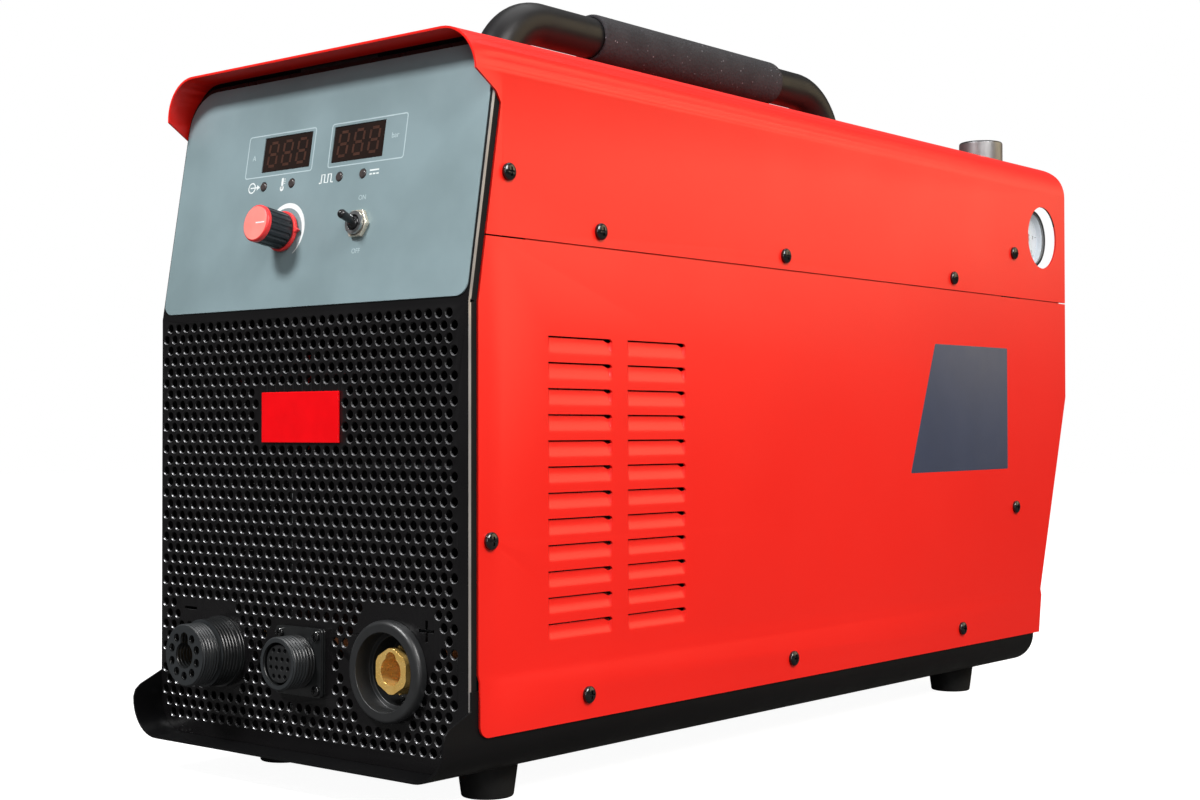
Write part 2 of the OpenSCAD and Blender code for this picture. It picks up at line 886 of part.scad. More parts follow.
// Path of the handle as one solid of diameter d, starting at height z0
module handle_path(d, z0) {
  bend_low = handle_z - handle_r;
  for (y = [handle_front, handle_rear]) translate([0, y, z0]) cylinder(h = bend_low - z0, r = d / 2);
  translate([0, handle_front + handle_r, bend_low]) bend_front_top(handle_r, d);
  translate([0, handle_rear - handle_r, bend_low]) bend_back_top(handle_r, d);
  translate([0, handle_rear - handle_r, handle_z]) rotate([90, 0, 0])
    cylinder(h = handle_rear - handle_front - 2 * handle_r, r = d / 2);
}

module carry_handle() in_frame(moulded_black) {
  difference() {
    handle_path(handle_d, cabinet_top);
    handle_legs(cabinet_top - 1) cylinder(h = plug_l, r = bolt_d / 2 + slip);
  }
}

module handle_grip() in_frame(foam_grey) {
  middle = (handle_front + handle_rear) / 2 + grip_shift;
  translate([0, middle + grip_l / 2, handle_z]) rotate([90, 0, 0])
    ring(0, grip_l, grip_d / 2, handle_d / 2 + slip);
}

module handle_bolts() in_frame(bare_metal) {
  handle_legs(sheet_top) {
    translate([0, 0, -bolt_d]) cylinder(h = bolt_d, r = bolt_d * 0.8, $fn = 6);
    cylinder(h = rail_t + sheet_t + plug_l - 4, r = bolt_d / 2);
  }
}

// ---- Feet ----

module rubber_feet() in_frame(rubber_black) {
  foot_places() translate([0, 0, -foot_h]) difference() {
    cylinder(h = foot_h, r1 = foot_low_r, r2 = foot_top_r);
    translate([0, 0, -1]) cylinder(h = foot_pocket_h + 1, r = foot_pocket_r);
    cylinder(h = foot_h + 1, r = foot_screw_d / 2 + slip);
  }
}

module foot_screws() in_frame(bare_metal) {
  foot_places() translate([0, 0, foot_pocket_h - foot_h]) mirror([0, 0, 1])
    pan_screw(foot_screw_d, 2 * foot_pocket_r - 1.6, 3.2, foot_h - foot_pocket_h + 6);
}

// ---- Front sockets ----

module name_plate() in_frame(paint_red) {
  plate_x = -1.6;
  plate_z = 193;
  translate([plate_x - plate_w / 2, -1.2, plate_z - plate_h / 2]) cube([plate_w, 1.2, plate_h]);
}

// Ring thread from z = a to z = b on radius r
module ring_thread(a, b, r, pitch) {
  count = floor((b - a) / pitch);
  rotate_extrude() {
    square_from(0, a, r - pitch * 0.4, b);
    for (i = [0:count - 1]) translate([0, a + i * pitch]) polygon([
      [0, pitch * 0.05], [r - pitch * 0.5, pitch * 0.05], [r, pitch * 0.3], [r, pitch * 0.65],
      [r - pitch * 0.5, pitch * 0.95], [0, pitch * 0.95]
    ]);
  }
}

module square_from(x0, y0, x1, y1) {
  translate([x0, y0]) square([x1 - x0, y1 - y0]);
}

module torch_holes() {
  for (i = [1:torch_slots - 1]) rotate(90 + i * 360 / torch_slots) translate([torch_ring_r, 0, 0])
    children();
}

module torch_socket() in_frame(moulded_black) {
  on_grille(-socket_x, socket_z) difference() {
    union() {
      translate([0, 0, -torch_back_l]) cylinder(h = torch_back_l + eps, r = torch_back_r);
      cylinder(h = torch_flange_t, r = torch_flange_r);
      cylinder(h = torch_neck - 0.5, r = torch_collar_r);
      cylinder(h = torch_neck + 0.5, r = torch_d / 2 - 1);
      ring_thread(torch_neck, torch_reach, torch_d / 2, 1.8);
    }
    translate([0, 0, torch_seat]) cylinder(h = torch_reach, r = torch_bore_d / 2);
    translate([0, 0, -torch_back_l - 1]) cylinder(h = torch_back_l + torch_reach, r = torch_tube_r + slip);
    translate([-torch_key_r, 0, torch_seat + 1]) cube([2 * torch_key_r, torch_key_y, torch_reach]);
    translate([0, torch_key_y, torch_seat + 1]) cylinder(h = torch_reach, r = torch_key_r);
    torch_holes() translate([0, 0, torch_seat + 3]) cylinder(h = torch_reach, r = torch_cup_r);
    torch_holes() translate([0, 0, -torch_back_l - 1])
      cylinder(h = torch_back_l + torch_reach + 2, r = torch_hole_d / 2);
  }
}

module torch_contacts() in_frame(brass_gold) {
  on_grille(-socket_x, socket_z) {
    ring(-torch_back_l - torch_tail, torch_seat, torch_tube_r, 3);
    torch_holes() translate([0, 0, -torch_back_l - 4])
      cylinder(h = torch_back_l + 18, r = torch_hole_d / 2 - slip);
  }
}

module socket_nuts() in_frame(bare_metal) {
  on_grille(-socket_x, socket_z)
    hex_nut(-sheet_t - nut_t, -sheet_t, torch_back_r + 6, torch_back_r + slip);
  on_grille(socket_x, socket_z)
    hex_nut(-work_back_l - nut_t, -work_back_l, work_stud_r + 6, work_stud_r + slip);
}

module pilot_socket() in_frame(moulded_black) {
  half = pilot_flange / 2;
  on_grille(0, socket_z) difference() {
    union() {
      linear_extrude(pilot_flange_t) round_rect(-half, -half, half, half, 2);
      translate([0, 0, -pilot_back_l]) cylinder(h = pilot_back_l + eps, r = pilot_back_r);
      ring_thread(pilot_flange_t, pilot_reach, pilot_d / 2, 2);
    }
    translate([0, 0, -pilot_back_l - 1])
      cylinder(h = pilot_back_l + pilot_reach, r = pilot_insert_r - pilot_step);
    translate([0, 0, pilot_flange_t]) cylinder(h = pilot_reach, r = pilot_insert_r + slip);
    four_corners(pilot_screw) translate([0, 0, -1])
      cylinder(h = pilot_flange_t + 2, r = panel_screw_d / 2 + slip);
  }
}

// Contact holes in rows of three and four
module pilot_holes() {
  rows = [3, 4, 4, 3];
  for (row = [0:3], i = [0:rows[row] - 1])
    translate([(i - (rows[row] - 1) / 2) * pilot_pitch, (1.5 - row) * pilot_pitch, 0]) children();
}

module pilot_insert() in_frame(moulded_black) {
  on_grille(0, socket_z) difference() {
    union() {
      translate([0, 0, pilot_flange_t])
        cylinder(h = pilot_reach - pilot_flange_t - 1.5, r = pilot_insert_r - 1.2);
      translate([0, 0, pilot_flange_t]) cylinder(h = 4, r = pilot_insert_r);
      translate([0, 0, -pilot_back_l])
        cylinder(h = pilot_back_l + 2 * pilot_flange_t, r = pilot_insert_r - pilot_step - slip);
    }
    pilot_holes() translate([0, 0, pilot_reach - 1.5 - pilot_contact_l])
      cylinder(h = 2 * pilot_contact_l, r = pilot_hole_d / 2);
  }
}

module panel_screws() in_frame(moulded_black) {
  on_grille(0, socket_z) translate([0, 0, pilot_flange_t]) four_corners(pilot_screw)
    pan_screw(panel_screw_d, 2 * panel_screw_d - 0.4, 2, pilot_flange_t + sheet_t + 3);
  for (z = [fan_low_z, fan_high_z]) on_rear(fan_x, z) four_corners(fan_screw)
    pan_screw(panel_screw_d, 2 * panel_screw_d, 2, sheet_t + 10);
}

module work_socket() in_frame(moulded_black) {
  on_grille(socket_x, socket_z) difference() {
    union() {
      rotate_extrude() {
        square_from(0, 0, work_d / 2, work_collar_t - 2.5);
        square_from(0, 0, work_d / 2 - 2.5, work_collar_t);
        translate([work_d / 2 - 2.5, work_collar_t - 2.5]) circle(2.5);
      }
      translate([0, 0, -work_back_l]) cylinder(h = work_back_l + eps, r = work_back_r);
    }
    translate([0, 0, work_floor_t - work_back_l])
      cylinder(h = work_back_l, r = work_recess_r - work_step);
    translate([0, 0, -work_step_l]) cylinder(h = work_step_l + 2 * work_collar_t, r = work_recess_r);
    translate([0, 0, -work_back_l - 1]) cylinder(h = work_back_l, r = work_stud_r + slip);
  }
}

module work_insert() in_frame(brass_gold) {
  seat = work_floor_t - work_back_l;
  on_grille(socket_x, socket_z) difference() {
    union() {
      translate([0, 0, seat]) rotate(30) cylinder(h = work_hex_l, r = work_hex_r, $fn = 6);
      translate([0, 0, seat]) intersection() {
        rotate(30) cylinder(h = -seat, r = work_hex_r, $fn = 6);
        cylinder(h = -seat, r = work_round_r);
      }
      translate([0, 0, seat - work_stud_l]) cylinder(h = work_stud_l + eps, r = work_stud_r);
    }
    translate([0, 0, seat - work_stud_l + 6])
      cylinder(h = work_stud_l + work_back_l, r = work_bore_d / 2);
    translate([0, work_key_y, seat + 2]) cylinder(h = work_back_l, r = work_key_r);
  }
}

// ---- Control panel pieces ----

module display(x) {
  on_panel(x, window_s) translate([-window_w / 2, -window_h / 2, -board_gap])
    cube([window_w, window_h, board_gap + overlay_t - 0.3]);
}

module current_display() in_frame(moulded_black) display(window_x[0]);

module pressure_display() in_frame(moulded_black) display(window_x[1]);

module status_lamps() in_frame(bare_metal) {
  for (x = lamp_x) on_panel(x, lamp_s) {
    translate([0, 0, -board_gap]) cylinder(h = board_gap + overlay_t, r = lamp_d / 2);
    translate([0, 0, overlay_t]) cylinder(h = 0.6, r1 = lamp_d / 2, r2 = lamp_d / 2 - 0.6);
  }
}

module control_board() in_frame(board_green) {
  on_panel(0, 0) {
    translate([-board_w / 2, board_s[0], -board_gap - board_t])
      cube([board_w, board_s[1] - board_s[0], board_t]);
    for (x = [-spacer_x, spacer_x], s = [board_s[0] + 6, board_s[1] - 6])
      translate([x, s, -board_gap - eps]) cylinder(h = board_gap - sheet_t + eps, r = 3);
  }
}

module knob_body() in_frame(moulded_black) {
  low = knob_base + skirt_h;
  on_panel(knob_x, control_s) difference() {
    translate([0, 0, low]) cylinder(h = knob_h - cap_h - low, r = knob_d / 2);
    for (i = [0:flutes - 1]) rotate(i * 360 / flutes) translate([knob_d / 2 + 0.5, 0, low + 1])
      cylinder(h = knob_h, r = 1.1, $fn = 16);
    cylinder(h = knob_base + knob_cavity_h, r = knob_cavity_r);
    cylinder(h = knob_h - cap_h - 2, r = shaft_r + slip);
  }
}

module knob_cap() in_frame(paint_red) {
  on_panel(knob_x, control_s) translate([0, 0, knob_h - cap_h]) {
    cylinder(h = cap_h - 0.8, r = knob_d / 2);
    translate([0, 0, cap_h - 0.8]) cylinder(h = 0.8, r1 = knob_d / 2, r2 = knob_d / 2 - 0.8);
  }
}

module knob_skirt() in_frame(paint_red) {
  on_panel(knob_x, control_s) {
    ring(knob_base, knob_base + skirt_h, skirt_r, knob_cavity_r);
    translate([0, 0, knob_base]) linear_extrude(skirt_h)
      polygon([[skirt_r - 0.6, 1.8], [skirt_r + 2.6, 0], [skirt_r - 0.6, -1.8]]);
  }
}

// Body and threaded bushing on the panel, with the shaft that the knob grips
module potentiometer() in_frame(bare_metal) {
  on_panel(knob_x, control_s) {
    difference() {
      union() {
        translate([0, 0, -sheet_t - pot_l]) cylinder(h = pot_l, r = pot_r);
        translate([0, 0, -sheet_t - eps]) cylinder(h = sheet_t + bushing_h, r = bushing_r);
      }
      translate([0, 0, -pot_l / 2 - sheet_t]) cylinder(h = pot_l + bushing_h, r = shaft_r + run_fit);
    }
    translate([0, 0, overlay_t]) hex_nut(0, 1.6, pot_nut_r, bushing_r + slip);
  }
}

module toggle_body() in_frame(bare_metal) {
  on_panel(toggle_x, control_s) difference() {
    union() {
      translate([-6.5, -14, -sheet_t - 17]) cube([13, 28, 17]);
      translate([0, 0, -sheet_t - eps]) cylinder(h = sheet_t + toggle_bush_h, r = toggle_bush_r);
    }
    translate([0, 0, toggle_pivot - toggle_bore_r - 3]) cylinder(h = 20, r = toggle_bore_r);
    translate([0, 0, toggle_pivot]) rotate([0, 90, 0])
      cylinder(h = 2 * (toggle_pin_half + slip), r = toggle_pin_r + run_fit, center = true);
  }
}

module toggle_nut() in_frame(bare_metal) {
  on_panel(toggle_x, control_s)
    hex_nut(overlay_t, overlay_t + toggle_nut_t, toggle_bush_r + 1.9, toggle_bush_r + slip);
}

module toggle_lever() in_frame(moulded_black) {
  on_panel(toggle_x, control_s) translate([0, 0, toggle_pivot]) {
    sphere(r = toggle_bore_r - move_gap);
    rotate([0, 90, 0]) cylinder(h = 2 * toggle_pin_half, r = toggle_pin_r, center = true);
    rotate([-toggle_swing, 0, 0]) {
      cylinder(h = toggle_reach, r1 = 1.9, r2 = 2.4);
      translate([0, 0, toggle_reach]) sphere(r = 2.4);
    }
  }
}

// ---- Fans ----

module fan_frame(z) {
  depth_0 = rear_inner - fan_depth;
  translate([fan_x, 0, z]) {
    along_y(depth_0, rear_inner) difference() {
      square(fan_size, center = true);
      circle(fan_hole_r);
      for (x = [-fan_screw, fan_screw], y = [-fan_screw, fan_screw]) translate([x, y]) circle(2.2);
    }
    along_y(rear_inner - 4, rear_inner) {
      circle(fan_hub_r);
      for (a = [45, 135]) rotate(a) square([2 * fan_hole_r + 1, fan_strut], center = true);
    }
    along_y(rear_inner - 4 - fan_motor_l, rear_inner - 4 + eps) circle(fan_pin_r);
  }
}

module fan_frames() in_frame(moulded_black) {
  for (z = [fan_low_z, fan_high_z]) fan_frame(z);
}

// Hub and twisted blades turning on the frame's pin
module fan_rotor(z) {
  rotor_l = fan_depth - 12;
  translate([fan_x, rear_inner - fan_depth + 3, z]) rotate([-90, 0, 0]) difference() {
    intersection() {
      union() {
        cylinder(h = rotor_l, r = fan_hub_r - 1);
        for (i = [0:fan_blades - 1]) rotate(i * 360 / fan_blades)
          translate([fan_hub_r - 3, 0, rotor_l / 2]) rotate([38, 0, 0])
          translate([0, -fan_blade_w / 2, -1]) cube([fan_tip_r, fan_blade_w, 2]);
      }
      cylinder(h = rotor_l, r = fan_tip_r);
    }
    translate([0, 0, rotor_l - fan_motor_l]) cylinder(h = fan_motor_l + 1, r = fan_pin_r + run_fit);
  }
}

module upper_rotor() in_frame(moulded_black) fan_rotor(fan_high_z);

module lower_rotor() in_frame(moulded_black) fan_rotor(fan_low_z);

// ---- Rear ----

module breaker_body() in_frame(moulded_black) {
  half_h = breaker_body_h / 2;
  on_rear(breaker_x, breaker_z) difference() {
    union() {
      translate([-breaker_w / 2, -half_h, -sheet_t - breaker_l]) cube([breaker_w, breaker_body_h, breaker_l]);
      translate([-breaker_w / 2, -breaker_nose_h / 2, -sheet_t - eps])
        cube([breaker_w, breaker_nose_h, sheet_t + breaker_nose]);
    }
    rotate([0, 90, 0]) cylinder(h = lever_w + 2 * move_gap, r = lever_drum_r + move_gap, center = true);
    translate([-lever_w / 2 - move_gap, -11, 0]) cube([lever_w + 2 * move_gap, 22, 20]);
  }
}

module breaker_lever() in_frame(moulded_black) {
  on_rear(breaker_x, breaker_z) {
    rotate([0, 90, 0]) cylinder(h = lever_w, r = lever_drum_r, center = true);
    rotate([-lever_swing, 0, 0]) translate([-lever_w / 2, -2.5, 0]) cube([lever_w, 5, lever_reach]);
  }
}

module cable_gland() in_frame(moulded_black) {
  on_rear(gland_x, gland_z) difference() {
    union() {
      translate([0, 0, -sheet_t - gland_in]) cylinder(h = gland_in + sheet_t + eps, r = gland_r);
      translate([0, 0, -sheet_t - gland_nut]) cylinder(h = gland_nut, r = gland_hex_r, $fn = 6);
      cylinder(h = gland_hex, r = gland_hex_r, $fn = 6);
      translate([0, 0, gland_hex - eps]) cylinder(h = gland_out - gland_hex - gland_cone, r = gland_r);
      translate([0, 0, gland_out - gland_cone - eps])
        cylinder(h = gland_cone, r1 = gland_r, r2 = gland_r - gland_cone / 2);
    }
    translate([0, 0, -sheet_t - gland_in - 1])
      cylinder(h = gland_in + gland_out + 2 * sheet_t + 2, r = gland_bore_d / 2);
  }
}

// ---- Air supply ----

module regulator_body() in_frame(bare_metal) {
  difference() {
    union() {
      translate([air_x - reg_half, air_y - reg_half, reg_low])
        cube([2 * reg_half, 2 * reg_half, reg_high - reg_low]);
      at_regulator(reg_high - eps) cylinder(h = reg_neck_h, r = reg_neck_r);
      translate([air_x, rear_face - outlet_l, gauge_z]) rotate([-90, 0, 0])
        cylinder(h = air_y - reg_half - rear_face + outlet_l + eps, r = port_r);
      on_gauge(air_x + reg_half - 1) cylinder(h = gauge_back - air_x - reg_half + 1, r = 6);
    }
    at_regulator(reg_high - spindle_in - 1)
      cylinder(h = spindle_in + 2 * reg_neck_h, r = spindle_r + run_fit);
    translate([air_x, air_y + reg_half - inlet_seat, gauge_z]) rotate([-90, 0, 0])
      cylinder(h = 2 * inlet_seat, r = air_bore_d / 2 - 1);
  }
}

module regulator_bracket() in_frame(bare_metal) {
  width = 2 * reg_half - 2;
  difference() {
    union() {
      translate([air_x - width / 2, rear_face, reg_high]) cube([width, air_y + reg_half - rear_face, bracket_t]);
      translate([air_x - width / 2, rear_face, reg_high]) cube([width, bracket_t, bracket_lip]);
    }
    at_regulator(reg_high - 1) cylinder(h = bracket_t + 2, r = reg_neck_r + slip);
  }
}

// Turns in the regulator's neck; the knob slides along its upper end
module adjust_spindle() in_frame(bare_metal) {
  at_regulator() {
    translate([0, 0, reg_high - spindle_in])
      cylinder(h = spindle_top - reg_high + spindle_in, r = spindle_r);
    translate([0, 0, reg_knob_low + 3]) cylinder(h = 4, r = spindle_r + 4);
  }
}

module regulator_knob() in_frame(bare_metal) {
  at_regulator() difference() {
    union() {
      translate([0, 0, reg_knob_low]) cylinder(h = reg_knob_top - reg_knob_low - 1, r = reg_knob_d / 2);
      translate([0, 0, reg_knob_top - 1]) cylinder(h = 1, r1 = reg_knob_d / 2, r2 = reg_knob_d / 2 - 1);
    }
    translate([0, 0, reg_knob_low - 1]) cylinder(h = reg_knob_top - reg_knob_low - 14, r = reg_knob_d / 2 - knob_wall);
    translate([0, 0, reg_knob_low]) cylinder(h = reg_knob_top - reg_knob_low - 2, r = spindle_r + run_fit);
  }
}

module filter_bowl() in_frame([0.75, 0.85, 0.9]) {
  at_regulator(reg_low) difference() {
    union() {
      translate([0, 0, -bowl_l + bowl_r]) cylinder(h = bowl_l - bowl_r, r = bowl_r);
      translate([0, 0, -bowl_l + bowl_r]) sphere(r = bowl_r);
    }
    translate([0, 0, -bowl_l + bowl_r]) cylinder(h = bowl_l, r = bowl_r - bowl_wall);
    translate([0, 0, -bowl_l + bowl_r]) sphere(r = bowl_r - bowl_wall);
    translate([0, 0, -bowl_l - 1]) cylinder(h = 20, r = drain_r + run_fit);
  }
}

module drain_valve() in_frame(moulded_black) {
  at_regulator(reg_low - bowl_l) {
    translate([0, 0, -5]) cylinder(h = drain_l, r = drain_r);
    translate([0, 0, -9]) cylinder(h = 4 + eps, r = drain_r + 2);
    translate([0, 0, drain_l - 5.5]) cylinder(h = 2, r = drain_r + 2);
  }
}

module gauge_case() in_frame(moulded_black) {
  depth = gauge_face - gauge_back;
  on_gauge(gauge_back) difference() {
    cylinder(h = depth, r = gauge_d / 2);
    translate([0, 0, gauge_wall]) cylinder(h = depth, r = gauge_d / 2 - gauge_wall);
    translate([0, 0, -1]) cylinder(h = depth, r = pivot_r + run_fit);
  }
}

module gauge_dial() in_frame("white") {
  on_gauge(gauge_back + gauge_wall) difference() {
    cylinder(h = dial_seat - gauge_wall, r = gauge_d / 2 - gauge_wall - slip);
    translate([0, 0, -1]) cylinder(h = gauge_face - gauge_back, r = pivot_r + run_fit);
  }
}

// Needle seen from the dial's front, resting at zero towards the lower left
module gauge_needle() in_frame(paint_red) {
  on_gauge(gauge_back + dial_seat) {
    translate([0, 0, -6]) cylinder(h = 6 + needle_gap + needle_t, r = pivot_r);
    translate([0, 0, needle_gap]) {
      cylinder(h = needle_t + 0.6, r = 2.4);
      rotate(225) linear_extrude(needle_t) polygon([[-5, 0.9], [15, 0.3], [15, -0.3], [-5, -0.9]]);
    }
  }
}

module gauge_lens() in_frame([0.85, 0.92, 0.95, 0.35]) {
  on_gauge(gauge_face - lens_t - 0.5) cylinder(h = lens_t, r = gauge_d / 2 - gauge_wall - slip);
}

module air_inlet() in_frame(brass_gold) {
  translate([air_x, air_y + reg_half, gauge_z]) rotate([-90, 0, 0]) difference() {
    union() {
      translate([0, 0, 0]) cylinder(h = 5, r = port_r + 1.5, $fn = 6);
      cylinder(h = inlet_l, r = port_r - 0.5);
    }
    translate([0, 0, -1]) cylinder(h = inlet_l + 2, r = air_bore_d / 2);
  }
}

module solenoid_valve() in_frame(brass_gold) {
  translate([air_x - valve_half, valve_front, deck_top]) cube([2 * valve_half, valve_l, valve_h]);
  translate([air_x, valve_front + valve_l / 2, deck_top + valve_h - eps]) {
    cylinder(h = valve_coil_h, r = valve_half - 2);
    translate([0, 0, valve_coil_h - eps]) cylinder(h = valve_nut_h, r = valve_half * 0.4);
  }
}

// Two hoses: regulator to valve, and valve to torch socket
module air_hose() in_frame(moulded_black) {
  gauge_hose();
  torch_hose();
}

module gauge_hose() {
  start = rear_face - outlet_l;
  turn = start - 30;
  drop_y = turn - hose_r;
  valve_rear = valve_front + valve_l;
  translate([air_x, start, gauge_z]) rotate([90, 0, 0]) cylinder(h = start - turn, r = hose_d / 2);
  translate([air_x, turn, gauge_z - hose_r]) bend_front_top(hose_r, hose_d);
  translate([air_x, drop_y, hose_z + hose_r])
    cylinder(h = gauge_z - hose_z - 2 * hose_r, r = hose_d / 2);
  translate([air_x, drop_y - hose_r, hose_z + hose_r]) bend_back_low(hose_r, hose_d);
  translate([air_x, drop_y - hose_r, hose_z]) rotate([90, 0, 0])
    cylinder(h = drop_y - hose_r - valve_rear, r = hose_d / 2);
}

module torch_hose() {
  over = hose_drop_y + hose_r;
  side = -socket_x + hose_r;
  translate([air_x, valve_front, hose_z]) rotate([90, 0, 0])
    cylinder(h = valve_front - over, r = hose_d / 2);
  translate([air_x, over, hose_z - hose_r]) bend_front_top(hose_r, hose_d);
  translate([air_x, hose_drop_y, socket_z + hose_r])
    cylinder(h = hose_z - socket_z - 2 * hose_r, r = hose_d / 2);
  translate([air_x - hose_r, hose_drop_y, socket_z + hose_r]) rotate([-90, 0, 0])
    quarter_bend(hose_r, hose_d);
  translate([side, hose_drop_y, socket_z]) rotate([0, 90, 0])
    cylinder(h = air_x - hose_r - side, r = hose_d / 2);
  translate([side, hose_drop_y - hose_r, socket_z]) rotate([0, 0, 90]) quarter_bend(hose_r, hose_d);
  translate([-socket_x, hose_drop_y - hose_r, socket_z]) rotate([90, 0, 0])
    cylinder(h = hose_drop_y - hose_r - torch_back_l - torch_tail, r = hose_d / 2);
}

// ---- Power stage ----

module heat_sink() in_frame(bare_metal) {
  step = (sink_w - sink_fin_t) / (sink_fins - 1);
  along_y(sink_front, sink_front + sink_l) translate([fan_x - sink_w / 2, deck_top]) {
    translate([0, sink_h - sink_base]) square([sink_w, sink_base]);
    for (i = [0:sink_fins - 1]) translate([i * step, 0]) square([sink_fin_t, sink_h - sink_base + eps]);
  }
}

module power_modules() in_frame(moulded_black) {
  gap = (sink_l - module_count * module_l) / (module_count + 1);
  for (i = [0:module_count - 1])
    translate([fan_x - module_w / 2, sink_front + gap + i * (module_l + gap), deck_top + sink_h])
    cube([module_w, module_l, module_h]);
}

module power_board() in_frame(board_green) {
  low = deck_top + sink_h + module_h;
  translate([fan_x - pcb_w / 2, sink_front + (sink_l - pcb_l) / 2, low]) {
    cube([pcb_w, pcb_l, board_t]);
    for (i = [0:3]) translate([(i % 2 == 0 ? 25 : 75), 30 + floor(i / 2) * 80 + (i % 2) * 40, board_t - eps])
      cylinder(h = capacitor_h, r = capacitor_r);
  }
}

module transformer_core() in_frame([0.25, 0.24, 0.25]) {
  translate([0, core_y, tray_floor]) difference() {
    translate([-core_w / 2, 0, 0]) cube([core_w, core_l, core_h]);
    for (side = [-1, 1]) translate([side * (core_leg / 2 + window_half()) - window_half(), -1, core_leg])
      cube([2 * window_half(), core_l + 2, core_h - 2 * core_leg]);
  }
}

// Half the width of one window of the transformer core
function window_half() = (core_w - 3 * core_leg) / 4;

module transformer_coil() in_frame(copper_brown) {
  x = core_leg / 2;
  reach = 2 * window_half() - coil_clear;
  wire_h = core_h - 2 * core_leg - 2 * coil_clear;
  translate([0, core_y, tray_floor + core_leg]) linear_extrude(wire_h) difference() {
    round_rect(-x - reach, -reach, x + reach, core_l + reach, 8);
    translate([-x - slip, -slip]) square([2 * (x + slip), core_l + 2 * slip]);
  }
}

module output_choke() in_frame(copper_brown) {
  translate([0, choke_y, tray_floor]) ring(0, choke_h, choke_r, choke_bore_r);
}

dial_seat = gauge_face - gauge_back - lens_t - 0.5 - needle_gap - needle_t - 2.5;

base_tray();
front_panel();
control_overlay();
top_cover();
side_panel_right();
side_panel_left();
rear_panel();
handle_rail();
inner_deck();
shell_screws();
carry_handle();
handle_grip();
handle_bolts();
rubber_feet();
foot_screws();
name_plate();
torch_socket();
torch_contacts();
socket_nuts();
pilot_socket();
pilot_insert();
panel_screws();
work_socket();
work_insert();
current_display();
pressure_display();
status_lamps();
control_board();
knob_body();
knob_cap();
knob_skirt();
potentiometer();
toggle_body();
toggle_nut();
toggle_lever();
fan_frames();
upper_rotor();
lower_rotor();
breaker_body();
breaker_lever();
cable_gland();
regulator_body();
regulator_bracket();
adjust_spindle();
regulator_knob();
filter_bowl();
drain_valve();
gauge_case();
gauge_dial();
gauge_needle();
gauge_lens();
air_inlet();
solenoid_valve();
air_hose();
heat_sink();
power_modules();
power_board();
transformer_core();
transformer_coil();
output_choke();
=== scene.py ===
"""Looks of an air plasma cutting power source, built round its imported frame.

Lengths are in millimetres along the frame's axes: X right, Y back, Z up, with the
origin on the floor under the middle. They become metres where a mesh is made.
"""

from __future__ import annotations

import logging
import math
from dataclasses import dataclass, field
from enum import Enum
from typing import Callable, Iterable, Optional, Sequence, Union

import bmesh
import bpy
from mathutils import Matrix, Vector

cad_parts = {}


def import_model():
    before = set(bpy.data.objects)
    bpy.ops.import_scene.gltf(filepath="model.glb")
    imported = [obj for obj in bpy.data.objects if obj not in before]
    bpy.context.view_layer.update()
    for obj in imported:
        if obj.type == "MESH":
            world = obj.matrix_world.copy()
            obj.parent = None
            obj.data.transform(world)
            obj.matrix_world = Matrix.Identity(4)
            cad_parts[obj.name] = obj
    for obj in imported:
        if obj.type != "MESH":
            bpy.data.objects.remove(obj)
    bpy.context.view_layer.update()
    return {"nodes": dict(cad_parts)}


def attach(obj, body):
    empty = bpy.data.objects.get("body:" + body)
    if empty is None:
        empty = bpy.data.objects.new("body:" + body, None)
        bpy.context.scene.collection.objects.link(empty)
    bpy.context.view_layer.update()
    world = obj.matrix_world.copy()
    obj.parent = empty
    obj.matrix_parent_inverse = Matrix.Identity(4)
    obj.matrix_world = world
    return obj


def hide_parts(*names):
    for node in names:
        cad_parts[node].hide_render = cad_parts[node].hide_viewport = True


LOG = logging.getLogger("power_source")
MM = 0.001
CHASSIS = "chassis"

Point2 = tuple[float, float]
Point3 = tuple[float, float, float]
Value = Union[float, int, bool, Point3, tuple[float, float, float, float], bpy.types.NodeSocket]
Inputs = dict[Union[str, int], Value]


# ---- Planes and points ----


@dataclass(frozen=True)
class Plane:
    """A working plane of the cabinet: a point on it, two directions in it and its outward normal."""

    origin: Point3
    across: Point3
    along: Point3
    out: Point3

    def matrix(self) -> Matrix:
        """Matrix from plane millimetres to frame metres."""
        turn = Matrix((self.across, self.along, self.out)).transposed().to_4x4()
        return Matrix.Diagonal((MM, MM, MM, 1.0)) @ Matrix.Translation(self.origin) @ turn

    def shifted(self, across: float, along: float, out: float = 0.0) -> "Plane":
        """The same plane with its origin moved within its own directions."""
        moved = (
            Vector(self.origin)
            + across * Vector(self.across)
            + along * Vector(self.along)
            + out * Vector(self.out)
        )
        return Plane(tuple(moved), self.across, self.along, self.out)


FRONT_Y = -307.5
REAR_Y = 260.5
BEND_Z = 247.8
MIDDLE_Z = 200.0
SOCKET_Z = 67.4
TILT = math.radians(9.4)
HALF_WIDTH = 120.0

